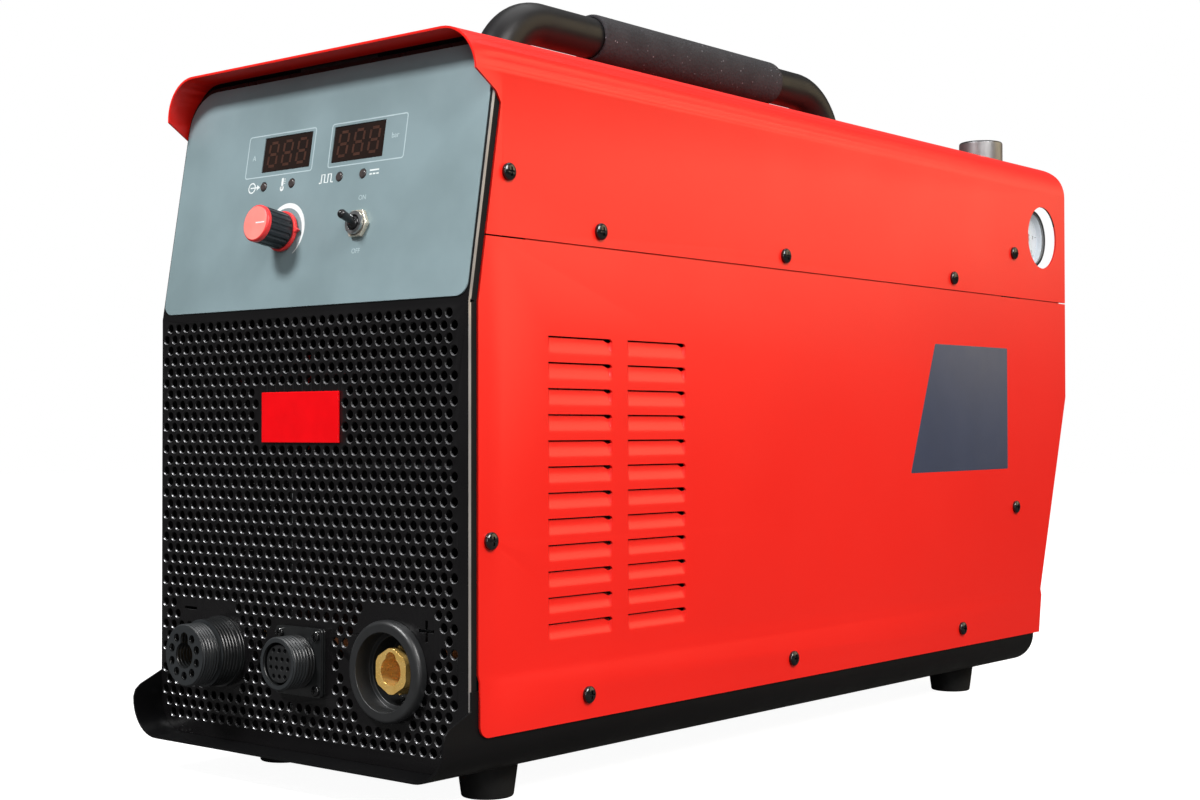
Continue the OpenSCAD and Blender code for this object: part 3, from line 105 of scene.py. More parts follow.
GRILLE = Plane((0.0, FRONT_Y, 0.0), (1.0, 0.0, 0.0), (0.0, 0.0, 1.0), (0.0, -1.0, 0.0))
PANEL = Plane(
    (0.0, FRONT_Y, BEND_Z),
    (1.0, 0.0, 0.0),
    (0.0, math.sin(TILT), math.cos(TILT)),
    (0.0, -math.cos(TILT), math.sin(TILT)),
)
RIGHT = Plane((HALF_WIDTH, FRONT_Y, 0.0), (0.0, 1.0, 0.0), (0.0, 0.0, 1.0), (1.0, 0.0, 0.0))
LEFT = Plane((-HALF_WIDTH, FRONT_Y, 0.0), (0.0, -1.0, 0.0), (0.0, 0.0, 1.0), (-1.0, 0.0, 0.0))
REAR = Plane((0.0, REAR_Y, 0.0), (-1.0, 0.0, 0.0), (0.0, 0.0, 1.0), (0.0, 1.0, 0.0))
UPWARD = Plane((0.0, 0.0, 0.0), (1.0, 0.0, 0.0), (0.0, 1.0, 0.0), (0.0, 0.0, 1.0))
DOWNWARD = Plane((0.0, 0.0, 0.0), (1.0, 0.0, 0.0), (0.0, -1.0, 0.0), (0.0, 0.0, -1.0))


# ---- Finishes ----


def linear(code: str) -> tuple[float, float, float, float]:
    """Turns a six-digit sRGB code into a linear colour.

    Args:
        code: Six hexadecimal digits.

    Returns:
        Red, green, blue and an alpha of 1.
    """
    parts = [int(code[i : i + 2], 16) / 255.0 for i in (0, 2, 4)]
    r, g, b = (p / 12.92 if p <= 0.04045 else ((p + 0.055) / 1.055) ** 2.4 for p in parts)
    return (r, g, b, 1.0)


def add_node(
    tree: bpy.types.NodeTree, kind: str, inputs: Optional[Inputs], settings: dict[str, object]
) -> bpy.types.Node:
    """Adds a node to a tree.

    Args:
        tree: The tree.
        kind: The node's type.
        inputs: Values or sockets for its inputs.
        settings: Its own properties.

    Returns:
        The new node.
    """
    made = tree.nodes.new(kind)
    for key, value in settings.items():
        setattr(made, key, value)
    for key, value in (inputs or {}).items():
        if isinstance(value, bpy.types.NodeSocket):
            tree.links.new(value, made.inputs[key])
        else:
            made.inputs[key].default_value = value
    return made


class Graph:
    """A material's node tree, with short calls for the patterns that the finishes share."""

    def __init__(self, name: str) -> None:
        """Starts a material with one Principled shader.

        Args:
            name: The material's name.
        """
        self.material = bpy.data.materials.new(name)
        self.material.use_nodes = True
        self.tree = self.material.node_tree
        self.shader = self.tree.nodes["Principled BSDF"]
        self.place = self.node("ShaderNodeTexCoord").outputs["Object"]

    def node(self, kind: str, inputs: Optional[Inputs] = None, **settings: object) -> bpy.types.Node:
        """Adds a node with its inputs' values or sockets and its own settings."""
        return add_node(self.tree, kind, inputs, settings)

    def noise(
        self, size: float, detail: float = 3.0, stretch: Point3 = (1.0, 1.0, 1.0)
    ) -> bpy.types.NodeSocket:
        """Noise whose patches are about size millimetres across."""
        place = self.node("ShaderNodeMapping", {"Vector": self.place, "Scale": stretch}).outputs["Vector"]
        return self.node(
            "ShaderNodeTexNoise", {"Vector": place, "Scale": 1.0 / (size * MM), "Detail": detail}
        ).outputs["Fac"]

    def cells(self, size: float) -> bpy.types.NodeSocket:
        """Distance to the nearest of points that lie about size millimetres apart."""
        return self.node(
            "ShaderNodeTexVoronoi", {"Vector": self.place, "Scale": 1.0 / (size * MM), "Randomness": 1.0}
        ).outputs["Distance"]

    def remap(self, value: bpy.types.NodeSocket, source: Point2, target: Point2) -> bpy.types.NodeSocket:
        """Stretches a value's range onto another one, clamped."""
        return self.node(
            "ShaderNodeMapRange",
            {
                "Value": value,
                "From Min": source[0],
                "From Max": source[1],
                "To Min": target[0],
                "To Max": target[1],
            },
        ).outputs["Result"]

    def blend(self, share: bpy.types.NodeSocket, first: Value, second: Value) -> bpy.types.NodeSocket:
        """Mixes two colours."""
        return self.node("ShaderNodeMix", {0: share, 6: first, 7: second}, data_type="RGBA").outputs[2]

    def bump(
        self, height: bpy.types.NodeSocket, depth: float, under: Optional[bpy.types.NodeSocket] = None
    ) -> bpy.types.NodeSocket:
        """Lays relief over a surface.

        Args:
            height: The relief, from 0 to 1.
            depth: What 1 stands for, in millimetres.
            under: Another relief that lies under it.

        Returns:
            The normal.
        """
        inputs: Inputs = {"Height": height, "Distance": depth * MM, "Strength": 1.0}
        if under is not None:
            inputs["Normal"] = under
        return self.node("ShaderNodeBump", inputs).outputs["Normal"]

    def shade(self, **inputs: Value) -> None:
        """Sets or links inputs of the shader.

        Args:
            inputs: Values or sockets by the inputs' names, with underscores for spaces.
        """
        for key, value in inputs.items():
            socket = self.shader.inputs[key.replace("_", " ")]
            if isinstance(value, bpy.types.NodeSocket):
                self.tree.links.new(value, socket)
            else:
                socket.default_value = value


@dataclass(frozen=True)
class Finish:
    """A surface with cloudy colour, uneven gloss and a fine grain.

    Sizes of clouds and grain are in millimetres.
    """

    name: str
    colour: str
    tint: str
    rough: float = 0.4
    rough_spread: float = 0.06
    metal: float = 0.0
    specular: float = 0.5
    cloud: float = 45.0
    cloud_stretch: Point3 = (1.0, 1.0, 1.0)
    grain: float = 0.7
    grain_depth: float = 0.012
    grain_stretch: Point3 = (1.0, 1.0, 1.0)
    swell: float = 0.0
    swell_depth: float = 0.0
    coat: float = 0.0
    coat_rough: float = 0.08
    alpha: float = 1.0

    def graph(self) -> Graph:
        """Builds the nodes of the finish.

        Returns:
            The graph, with its shader set.
        """
        made = Graph(self.label)
        clouds = made.remap(made.noise(self.cloud, 4.0, self.cloud_stretch), (0.35, 0.65), (0.0, 1.0))
        colour = made.blend(clouds, linear(self.colour), linear(self.tint))
        smudge = made.noise(self.cloud * 0.37, 5.0)
        spread = (self.rough - self.rough_spread, self.rough + self.rough_spread)
        rough = made.remap(smudge, (0.3, 0.7), spread)
        normal = made.bump(made.noise(self.grain, 2.0, self.grain_stretch), self.grain_depth)
        if self.swell:
            normal = made.bump(made.noise(self.swell, 1.0), self.swell_depth, normal)
        made.shade(Base_Color=colour, Roughness=rough, Normal=normal, Metallic=self.metal)
        made.shade(Specular_IOR_Level=self.specular, Coat_Weight=self.coat, Coat_Roughness=self.coat_rough)
        if self.alpha < 1.0:
            made.shade(Alpha=self.alpha)
        self.extra(made)
        return made

    def extra(self, made: Graph) -> None:
        """Adds what only this kind of finish has."""

    @property
    def label(self) -> str:
        """Name of its material, which differs from the names in the frame."""
        return f"look_{self.name}"

    def material(self) -> bpy.types.Material:
        """The finish's material, made at its first use."""
        found = bpy.data.materials.get(self.label)
        return found if found else self.graph().material


@dataclass(frozen=True)
class Speckled(Finish):
    """A finish with small pale or dark specks."""

    speck: str = "8a8a90"
    speck_size: float = 3.0
    speck_share: float = 0.22
    pit_depth: float = 0.15

    def extra(self, made: Graph) -> None:
        """Adds the specks and pits.

        Args:
            made: The graph of the plain finish.
        """
        base = made.shader.inputs["Base Color"].links[0].from_socket
        cells = made.cells(self.speck_size)
        fade = made.remap(made.noise(self.speck_size * 6.0), (0.42, 0.6), (0.25, 1.0))
        dots = made.remap(cells, (self.speck_share * 0.5, self.speck_share), (1.0, 0.0))
        share = made.node("ShaderNodeMath", {0: dots, 1: fade}, operation="MULTIPLY").outputs[0]
        made.shade(Base_Color=made.blend(share, base, linear(self.speck)))
        relief = made.shader.inputs["Normal"].links[0].from_socket
        made.shade(Normal=made.bump(made.cells(self.speck_size * 0.45), self.pit_depth, relief))


@dataclass(frozen=True)
class Striped(Finish):
    """A finish with fine parallel turns, as on a winding or a stack of sheets."""

    pitch: float = 1.6
    groove: float = 0.4
    direction: str = "Z"
    shadow: str = "3a1d10"

    def extra(self, made: Graph) -> None:
        """Adds the turns as relief and as darker lines, painted shade in their grooves.

        Args:
            made: The graph of the plain finish.
        """
        base = made.shader.inputs["Base Color"].links[0].from_socket
        bands_per_scale = 0.314
        waves = made.node(
            "ShaderNodeTexWave",
            {
                "Vector": made.place,
                "Scale": bands_per_scale / (self.pitch * MM),
                "Distortion": 0.4,
                "Detail Scale": 0.5,
            },
            bands_direction=self.direction,
        ).outputs["Fac"]
        relief = made.shader.inputs["Normal"].links[0].from_socket
        lines = made.remap(waves, (0.0, 0.35), (1.0, 0.0))
        made.shade(Normal=made.bump(waves, self.groove, relief))
        made.shade(Base_Color=made.blend(lines, base, linear(self.shadow)))


RED_ENAMEL = Finish(
    "red_enamel", "ea1e14", "e61c12", rough=0.32, rough_spread=0.02, specular=0.45, cloud=160.0,
    grain=0.9, grain_depth=0.003,
)
INNER_PRIMER = Finish(
    "inner_primer", "1d1b1b", "232020", rough=0.62, rough_spread=0.06, specular=0.3, cloud=50.0, grain=0.6,
    grain_depth=0.01,
)
BLACK_POWDER = Finish(
    "black_powder", "0f0e0f", "131213", rough=0.28, rough_spread=0.05, specular=0.34, cloud=60.0,
    grain=0.5, grain_depth=0.012, swell=2.4, swell_depth=0.012,
)
FLANGE_BLACK = Finish(
    "flange_black", "121212", "171717", rough=0.7, rough_spread=0.05, specular=0.12, cloud=40.0, grain=0.5,
    grain_depth=0.01,
)
# Pale metallic band on the front sheet's side flanges: a painted highlight standing in for the light on the
# rounded bend.
PAINTED_BEND_HIGHLIGHT = Finish(
    "bend_sheen", "b8b4b2", "aaa6a4", rough=0.36, rough_spread=0.05, specular=0.6, metal=0.6, cloud=30.0,
    grain=0.5, grain_depth=0.008,
)
# Pale metallic finish on the upward-looking walls of the holes: painted glints of the light on each hole's
# lower edge.
PAINTED_HOLE_GLINT = Finish(
    "punched_edge", "69696b", "5e5e60", rough=0.3, rough_spread=0.05, specular=0.7, metal=0.5, cloud=9.0,
    grain=0.4, grain_depth=0.006,
)
TRAY_BLACK = Finish(
    "tray_powder", "0c0c0d", "101011", rough=0.36, rough_spread=0.05, specular=0.2, cloud=70.0,
    grain=0.6, grain_depth=0.01, swell=2.8, swell_depth=0.014,
)
OVERLAY_FILM = Finish(
    "overlay_film", "7f9297", "738589", rough=0.38, rough_spread=0.03, specular=0.4, cloud=55.0,
    grain=0.35, grain_depth=0.006,
)
PRINT_WHITE = Finish("print_white", "dfe6e6", "d6dddd", rough=0.5, cloud=8.0, grain=0.3, grain_depth=0.004)
PRINT_PALE = Finish("print_pale", "aebfc4", "a6b8bd", rough=0.5, cloud=8.0, grain=0.3, grain_depth=0.004)
PLATE_RED = Finish(
    "plate_red", "ee0510", "e6040e", specular=0.2, rough=0.32, rough_spread=0.04, cloud=14.0, grain=0.3,
    grain_depth=0.005,
)
DECAL_GREY = Finish(
    "decal_grey", "3d4459", "3a4155", rough=0.42, rough_spread=0.04, cloud=40.0, grain=0.4, grain_depth=0.004
)
ZINC_STEEL = Finish(
    "zinc_steel", "b9babb", "a7a9ab", rough=0.32, rough_spread=0.08, metal=1.0, cloud=9.0,
    grain=0.5, grain_depth=0.006,
)
DARK_STEEL = Finish(
    "dark_steel", "2b2b2c", "353536", rough=0.45, rough_spread=0.06, metal=0.6, cloud=12.0, grain=0.5,
    grain_depth=0.01,
)
NICKEL = Finish(
    "nickel_nut", "e6dfcf", "d6cebd", rough=0.3, rough_spread=0.06, metal=0.6, cloud=3.0, grain=0.3,
    grain_depth=0.004,
)
BLACK_SCREW = Finish(
    "black_screw", "0c0c0d", "111112", rough=0.14, rough_spread=0.04, specular=0.75, cloud=3.0,
    grain=0.3, grain_depth=0.008,
)
TUBE_BLACK = Finish(
    "tube_black", "111112", "151516", rough=0.42, rough_spread=0.05, specular=0.27, cloud=50.0,
    grain=0.5, grain_depth=0.014, swell=2.2, swell_depth=0.01,
)
FOAM = Speckled(
    "foam_grip", "29292c", "303033", rough=0.86, rough_spread=0.06, specular=0.25, cloud=18.0,
    grain=0.9, grain_depth=0.12, speck="77777c", speck_size=4.6, speck_share=0.13, pit_depth=0.28,
)
RUBBER = Finish(
    "foot_rubber", "161616", "1c1c1c", rough=0.66, rough_spread=0.08, specular=0.35, cloud=12.0,
    grain=0.5, grain_depth=0.03,
)
THREADED_BLACK = Striped(
    "threaded_black", "17191a", "1c1e1f", rough=0.34, rough_spread=0.05, specular=0.8, cloud=14.0, grain=0.35,
    grain_depth=0.01, pitch=2.0, groove=0.28, direction="Y", shadow="070707",
)
SOCKET_FACE = Finish(
    "socket_face", "26292b", "2a2d2f", rough=0.46, rough_spread=0.05, specular=0.5, cloud=14.0, grain=0.35,
    grain_depth=0.01,
)
MOULDED_BLACK = Finish(
    "moulded_black", "18191a", "1e1f20", rough=0.46, rough_spread=0.07, specular=0.5, cloud=14.0,
    grain=0.35, grain_depth=0.02,
)
COLLAR_GREY = Finish(
    "collar_grey", "202122", "252627", rough=0.38, rough_spread=0.06, specular=0.65, cloud=16.0,
    grain=0.35, grain_depth=0.02,
)
BRASS = Finish(
    "brass", "f6cd7c", "eabd66", rough=0.24, rough_spread=0.06, metal=0.5, cloud=5.0, grain=0.4,
    grain_depth=0.01, grain_stretch=(1.0, 0.15, 1.0),
)
DISPLAY_FACE = Finish(
    "display_face", "180c08", "1f110b", rough=0.14, rough_spread=0.03, specular=0.5, cloud=20.0,
    grain=0.5, grain_depth=0.002, coat=0.5, coat_rough=0.04,
)
SEGMENT = Finish("segment_ghost", "3d261e", "452c23", rough=0.2, cloud=6.0, grain=0.4, grain_depth=0.003)
LAMP_LENS = Finish(
    "lamp_lens", "3a3434", "443c3a", rough=0.18, rough_spread=0.05, cloud=2.0, grain=0.5, grain_depth=0.004,
    coat=0.4,
)
BOARD = Speckled(
    "board_green", "0f5a35", "0c4a2b", rough=0.42, cloud=9.0, grain=0.4, grain_depth=0.02,
    speck="b9b39a", speck_size=3.4, speck_share=0.2, pit_depth=0.05,
)
KNOB_RED = Finish(
    "knob_red", "ea3c3c", "e43638", rough=0.4, rough_spread=0.05, specular=0.5, cloud=6.0, grain=0.3,
    grain_depth=0.008,
)
# Paler pink for the knob cap's front face: a painted highlight of the light that the face reflects.
PAINTED_CAP_HIGHLIGHT = Finish(
    "knob_face", "f28a80", "f07f76", rough=0.45, rough_spread=0.05, specular=0.5, cloud=9.0, grain=0.3,
    grain_depth=0.006,
)
KNOB_BLACK = Finish(
    "knob_black", "1c1e22", "23252a", rough=0.34, rough_spread=0.05, specular=0.5, cloud=5.0, grain=0.3,
    grain_depth=0.01,
)
LEVER_BLACK = Finish(
    "lever_black", "17181a", "1f2022", rough=0.2, rough_spread=0.05, specular=0.5, cloud=4.0, grain=0.3,
    grain_depth=0.006,
)
CAST_ALUMINIUM = Finish(
    "cast_aluminium", "a8abae", "989ca0", rough=0.48, rough_spread=0.1, metal=1.0, cloud=12.0,
    grain=0.6, grain_depth=0.05,
)
KNOB_STEEL = Finish(
    "knob_steel", "8e8f90", "828384", rough=0.4, rough_spread=0.04, metal=0.9, cloud=14.0,
    grain=0.4, grain_depth=0.002,
)
RIM_DARK = Finish(
    "rim_dark", "4c4b4d", "5a595b", rough=0.35, metal=1.0, cloud=4.0, grain=0.4, grain_depth=0.01
)
BOWL_CLEAR = Finish(
    "bowl_clear", "c9d6dc", "bccbd2", rough=0.1, rough_spread=0.03, alpha=0.38, cloud=14.0, grain=0.8,
    grain_depth=0.01,
)
GAUGE_GLASS = Finish(
    "gauge_glass", "f0f4f6", "e8eef0", rough=0.05, rough_spread=0.02, alpha=0.14, cloud=9.0, grain=1.2,
    grain_depth=0.002,
)
DIAL_WHITE = Finish(
    "dial_white", "dfe8f1", "d6e0ea", rough=0.45, cloud=7.0, grain=0.3, grain_depth=0.004
)
DIAL_INK = Finish("dial_ink", "1d2226", "262b30", rough=0.5, cloud=3.0, grain=0.2, grain_depth=0.003)
NEEDLE_RED = Finish("needle_red", "c21a1a", "b01515", rough=0.4, cloud=3.0, grain=0.3, grain_depth=0.005)
HOSE_AMBER = Finish(
    "hose_amber", "5e3414", "522c10", rough=0.38, rough_spread=0.05, cloud=11.0, grain=0.5, grain_depth=0.015
)
MODULE_BLACK = Finish("module_black", "1a1b1c", "232425", rough=0.55, cloud=9.0, grain=0.4, grain_depth=0.03)
CORE_STEEL = Striped(
    "core_steel", "4c4a4a", "5a5756", rough=0.5, metal=0.7, cloud=12.0, grain=0.4, grain_depth=0.02,
    pitch=1.0, groove=0.12, direction="Y", shadow="2a2827",
)
COPPER_TURNS = Striped(
    "copper_turns", "9a4f27", "86421f", rough=0.34, metal=0.6, cloud=6.0, grain=0.5, grain_depth=0.02,
    pitch=1.7, groove=0.35, direction="Z",
)
HEAT_SINK = Finish(
    "heat_sink", "a4a7aa", "94989c", rough=0.4, rough_spread=0.08, metal=1.0, cloud=22.0, grain=0.4,
    grain_depth=0.02, grain_stretch=(1.0, 0.1, 1.0),
)
WORK_FLOOR = Finish(
    "floor_pale", "a4a4a4", "a0a0a0", rough=0.85, specular=0.1, cloud=700.0, grain=4.0, grain_depth=0.02
)


# ---- Meshes ----

# Edges bent by more degrees than these stay sharp on own meshes and are rounded on CAD ones.
SHARP_EDGE = 35.0
HARD_EDGE = 38.0


def baked(piece: bpy.types.Object) -> bpy.types.Object:
    """Gives a piece its modified mesh and takes its modifiers away.

    Args:
        piece: The piece with its modifiers.

    Returns:
        The piece.
    """
    graph = bpy.context.evaluated_depsgraph_get()
    graph.update()
    mesh = bpy.data.meshes.new_from_object(
        piece.evaluated_get(graph), preserve_all_data_layers=True, depsgraph=graph
    )
    old = piece.data
    piece.modifiers.clear()
    piece.data = mesh
    if old.users == 0:
        bpy.data.meshes.remove(old)
    return piece


def linked(name: str, data: bpy.types.Mesh) -> bpy.types.Object:
    """Makes an object of a mesh and links it to the scene.

    Args:
        name: The object's name.
        data: Its mesh.

    Returns:
        The new object at the origin.
    """
    made = bpy.data.objects.new(name, data)
    bpy.context.scene.collection.objects.link(made)
    return made


def as_object(name: str, mesh: bmesh.types.BMesh) -> bpy.types.Object:
    """Turns a bmesh in frame metres into a linked object.

    Args:
        name: The object's name.
        mesh: The mesh, which is freed.

    Returns:
        The new object at the origin.
    """
    data = bpy.data.meshes.new(name)
    mesh.to_mesh(data)
    mesh.free()
    made = linked(name, data)
    smooth(made)
    return made


def smooth(piece: bpy.types.Object, sharp: float = SHARP_EDGE) -> None:
    """Smooths a piece's shading, apart from edges bent by more than sharp degrees."""
    piece.data.shade_smooth()
    piece.data.set_sharp_from_angle(angle=math.radians(sharp))


def weighted(piece: bpy.types.Object) -> bpy.types.Object:
    """Lets large flat faces rule the shading at their edges.

    Args:
        piece: The piece.

    Returns:
        The piece.
    """
    rule = piece.modifiers.new("weighted", "WEIGHTED_NORMAL")
    rule.mode = "FACE_AREA"
    rule.weight = 80
    rule.keep_sharp = True
    return baked(piece)


def eased(points: Sequence[Point2], radius: float, steps: int = 3, closed: bool = False) -> list[Point2]:
    """Rounds the corners of a line.

    Args:
        points: The line's corners.
        radius: How far from each corner the rounding starts.
        steps: Pieces of each rounding.
        closed: Whether the line's ends meet.

    Returns:
        The rounded line.
    """
    count = len(points)
    result: list[Point2] = []
    for i, corner in enumerate(points):
        if not closed and i in (0, count - 1):
            result.append(corner)
            continue
        here = Vector(corner)
        sides = [Vector(points[(i - 1) % count]) - here, Vector(points[(i + 1) % count]) - here]
        reach = min(radius, sides[0].length / 2.05, sides[1].length / 2.05)
        first, last = (here + side.normalized() * reach for side in sides)
        for k in range(steps + 1):
            t = k / steps
            spot = first * (1 - t) ** 2 + here * (2 * t * (1 - t)) + last * t**2
            result.append((spot.x, spot.y))
    return result


def box_outline(width: float, height: float, radius: float, steps: int = 4) -> list[Point2]:
    """Corner points of a rounded rectangle round the origin."""
    x, y = width / 2, height / 2
    return eased([(-x, -y), (x, -y), (x, y), (-x, y)], radius, steps, closed=True)


def cross_outline(reach: float, half: float) -> list[Point2]:
    """Corner points of a plus sign round the origin, with arms of the given reach and half width."""
    a, b = reach, half
    return [
        (a, -b), (a, b), (b, b), (b, a), (-b, a), (-b, b),
        (-a, b), (-a, -b), (-b, -b), (-b, -a), (b, -a), (b, -b),
    ]


def eased_step(share: float) -> float:
    """Smooth step from 0 to 1."""
    return share * share * (3.0 - 2.0 * share)


class Shape:
    """A mesh that is gathered in the millimetres of a plane."""

    def __init__(self, plane: Plane) -> None:
        """Starts an empty mesh on a plane."""
        self.plane = plane
        self.mesh = bmesh.new()

    def _ring(self, points: Iterable[Point3]) -> list[bmesh.types.BMVert]:
        """Adds points of the plane as vertices."""
        return [self.mesh.verts.new(point) for point in points]

    def _face(self, corners: Sequence[bmesh.types.BMVert]) -> None:
        """Adds a face, skipping repeated corners."""
        seen = list(dict.fromkeys(corners))
        if len(seen) > 2:
            self.mesh.faces.new(seen)

    def _skin(self, rings: Sequence[Sequence[bmesh.types.BMVert]], wrap: bool, looped: bool = True) -> None:
        """Joins rings of equal count, or single points, with faces."""
        pairs = list(zip(rings, rings[1:])) + ([(rings[-1], rings[0])] if wrap else [])
        for low, high in pairs:
            count = max(len(low), len(high))
            for i in range(count if looped else count - 1):
                j = (i + 1) % count
                pick = [
                    low[i % len(low)], low[j % len(low)], high[j % len(high)], high[i % len(high)],
                ]
                self._face(pick)

    def turned(self, profile: Sequence[Point2], sides: int, wrap: bool = False) -> "Shape":
        """Turns a profile of radius and height round the plane's normal.

        Args:
            profile: Points of radius and height.
            sides: Faces round the axis.
            wrap: Whether the profile's ends meet.

        Returns:
            The shape itself.
        """
        rings = []
        for radius, height in profile:
            if radius < 1e-6:
                rings.append(self._ring([(0.0, 0.0, height)]))
                continue
            ring = []
            for k in range(sides):
                angle = math.tau * k / sides
                ring.append((radius * math.cos(angle), radius * math.sin(angle), height))
            rings.append(self._ring(ring))
        self._skin(rings, wrap)
        if not wrap:
            for ring in (rings[0], rings[-1]):
                if len(ring) > 1:
                    self._face(ring)
        return self

    def prism(self, outline: Sequence[Point2], low: float, high: float, at: Point2 = (0.0, 0.0)) -> "Shape":
        """Raises an outline.

        Args:
            outline: Its corners.
            low: Height of its underside.
            high: Height of its top.
            at: Where its own origin goes.

        Returns:
            The shape itself.
        """
        rings = [self._ring((u + at[0], v + at[1], h) for u, v in outline) for h in (low, high)]
        self._skin(rings, wrap=False)
        for ring in rings:
            self._face(ring)
        return self

    def ribbon(
        self, line: Sequence[Point2], widths: Union[float, Sequence[float]], low: float, high: float,
        closed: bool = False,
    ) -> "Shape":
        """Raises a flat line.

        Args:
            line: Its points.
            widths: One width, or one for each point.
            low: Height of its underside.
            high: Height of its top.
            closed: Whether its ends meet.

        Returns:
            The shape itself.
        """
        count = len(line)
        spread = [widths] * count if isinstance(widths, (int, float)) else list(widths)
        rails: list[list[Point2]] = [[], []]
        for i, spot in enumerate(line):
            before = line[(i - 1) % count] if closed or i else spot
            after = line[(i + 1) % count] if closed or i < count - 1 else spot
            way = (Vector(after) - Vector(before)).normalized()
            side = Vector((-way.y, way.x)) * spread[i] / 2
            rails[0].append((spot[0] + side.x, spot[1] + side.y))
            rails[1].append((spot[0] - side.x, spot[1] - side.y))
        rings = [
            self._ring((u, v, h) for u, v in rail)
            for rail, h in ((rails[0], low), (rails[0], high), (rails[1], high), (rails[1], low))
        ]
        self._skin(rings, wrap=True, looped=closed)
        if not closed:
            for end in (0, -1):
                self._face([ring[end] for ring in rings])
        return self

    def grid(self, rows: Sequence[Sequence[Point3]], backs: Sequence[Sequence[Point3]]) -> "Shape":
        """Adds a closed sheet.

        Args:
            rows: Points of its front, row by row.
            backs: The points behind them.

        Returns:
            The shape itself.
        """
        fronts = [self._ring(row) for row in rows]
        rears = [self._ring(row) for row in backs]
        for sheet in (fronts, rears):
            for low, high in zip(sheet, sheet[1:]):
                for i in range(len(low) - 1):
                    self._face([low[i], low[i + 1], high[i + 1], high[i]])
        for edge_f, edge_r in (
            (fronts[0], rears[0]),
            (fronts[-1], rears[-1]),
            ([r[0] for r in fronts], [r[0] for r in rears]),
            ([r[-1] for r in fronts], [r[-1] for r in rears]),
        ):
            for i in range(len(edge_f) - 1):
                self._face([edge_f[i], edge_f[i + 1], edge_r[i + 1], edge_r[i]])
        return self

    def build(self, name: str, bevel: float = 0.0) -> bpy.types.Object:
        """Closes the mesh and makes it an object.

        Args:
            name: The object's name.
            bevel: Width of the rounding on its sharp edges.

        Returns:
            The object, at the frame's origin.
        """
        mesh = self.mesh
        bmesh.ops.remove_doubles(mesh, verts=mesh.verts, dist=1e-4)
        bmesh.ops.recalc_face_normals(mesh, faces=mesh.faces)
        if bevel:
            limit = math.radians(SHARP_EDGE)
            hard = [e for e in mesh.edges if len(e.link_faces) == 2 and e.calc_face_angle(0.0) > limit]
            bmesh.ops.bevel(
                mesh, geom=hard, offset=bevel, segments=2, profile=0.6, affect="EDGES", clamp_overlap=True
            )
        mesh.transform(self.plane.matrix())
        if self.plane.matrix().determinant() < 0:
            bmesh.ops.reverse_faces(mesh, faces=mesh.faces)
        return as_object(name, mesh)


def node_copy(node: str, name: str) -> bpy.types.Object:
    """Copies a CAD node's mesh with its points merged and its flats cleared.

    Args:
        node: The CAD node.
        name: The copy's name.

    Returns:
        The copy.
    """
    mesh = bmesh.new()
    mesh.from_mesh(bpy.data.objects[node].data)
    bmesh.ops.remove_doubles(mesh, verts=mesh.verts, dist=2e-6)
    bmesh.ops.dissolve_limit(mesh, angle_limit=math.radians(0.4), verts=mesh.verts, edges=mesh.edges)
    data = bpy.data.meshes.new(name)
    mesh.to_mesh(data)
    mesh.free()
    return linked(name, data)


def softened(node: str, name: str, width: float, segments: int = 2) -> bpy.types.Object:
    """Copies a CAD node and rounds its hard edges a little.

    Args:
        node: The CAD node.
        name: The new piece's name.
        width: Width of the rounding in millimetres.
        segments: Faces across the rounding.

    Returns:
        The new piece.
    """
    piece = node_copy(node, name)
    mesh = bmesh.new()
    mesh.from_mesh(piece.data)
    layer = mesh.edges.layers.float.new("bevel_weight_edge")
    for edge in mesh.edges:
        if len(edge.link_faces) == 2 and edge.calc_face_angle(0.0) > math.radians(HARD_EDGE):
            edge[layer] = 1.0
    mesh.to_mesh(piece.data)
    mesh.free()
    rule = piece.modifiers.new("bevel", "BEVEL")
    rule.limit_method = "WEIGHT"
    rule.width = width * MM
    rule.segments = segments
    rule.use_clamp_overlap = True
    baked(piece)
    smooth(piece, HARD_EDGE)
    return weighted(piece)


def lettering(name: str, words: str, plane: Plane, size: float, low: float, high: float) -> bpy.types.Object:
    """Makes flat raised characters, centred on a plane's origin.

    Args:
        name: The object's name.
        words: The characters.
        plane: The plane that they lie on.
        size: Their size in millimetres.
        low: Height of their underside over the plane.
        high: Height of their top.

    Returns:
        The characters as one mesh.
    """
    curve = bpy.data.curves.new(name, "FONT")
    curve.body = words
    curve.size = size
    curve.align_x = "CENTER"
    curve.align_y = "CENTER"
    curve.extrude = (high - low) / 2
    holder = bpy.data.objects.new(name + "_line", curve)
    bpy.context.scene.collection.objects.link(holder)
    graph = bpy.context.evaluated_depsgraph_get()
    flat = bpy.data.meshes.new_from_object(holder.evaluated_get(graph), depsgraph=graph)
    bpy.data.objects.remove(holder)
    mesh = bmesh.new()
    mesh.from_mesh(flat)
    bmesh.ops.translate(mesh, verts=mesh.verts, vec=(0.0, 0.0, (low + high) / 2))
    mesh.transform(plane.matrix())
    bmesh.ops.remove_doubles(mesh, verts=mesh.verts, dist=1e-6)
    bmesh.ops.recalc_face_normals(mesh, faces=mesh.faces)
    return as_object(name, mesh)


def joined(name: str, pieces: Sequence[bpy.types.Object]) -> bpy.types.Object:
    """Joins pieces into one.

    Args:
        name: Its name.
        pieces: The pieces, which are removed.

    Returns:
        The joined piece.
    """
    mesh = bmesh.new()
    for piece in pieces:
        mesh.from_mesh(piece.data)
        old = piece.data
        bpy.data.objects.remove(piece)
        bpy.data.meshes.remove(old)
    return as_object(name, mesh)


# ---- Geometry Nodes ----


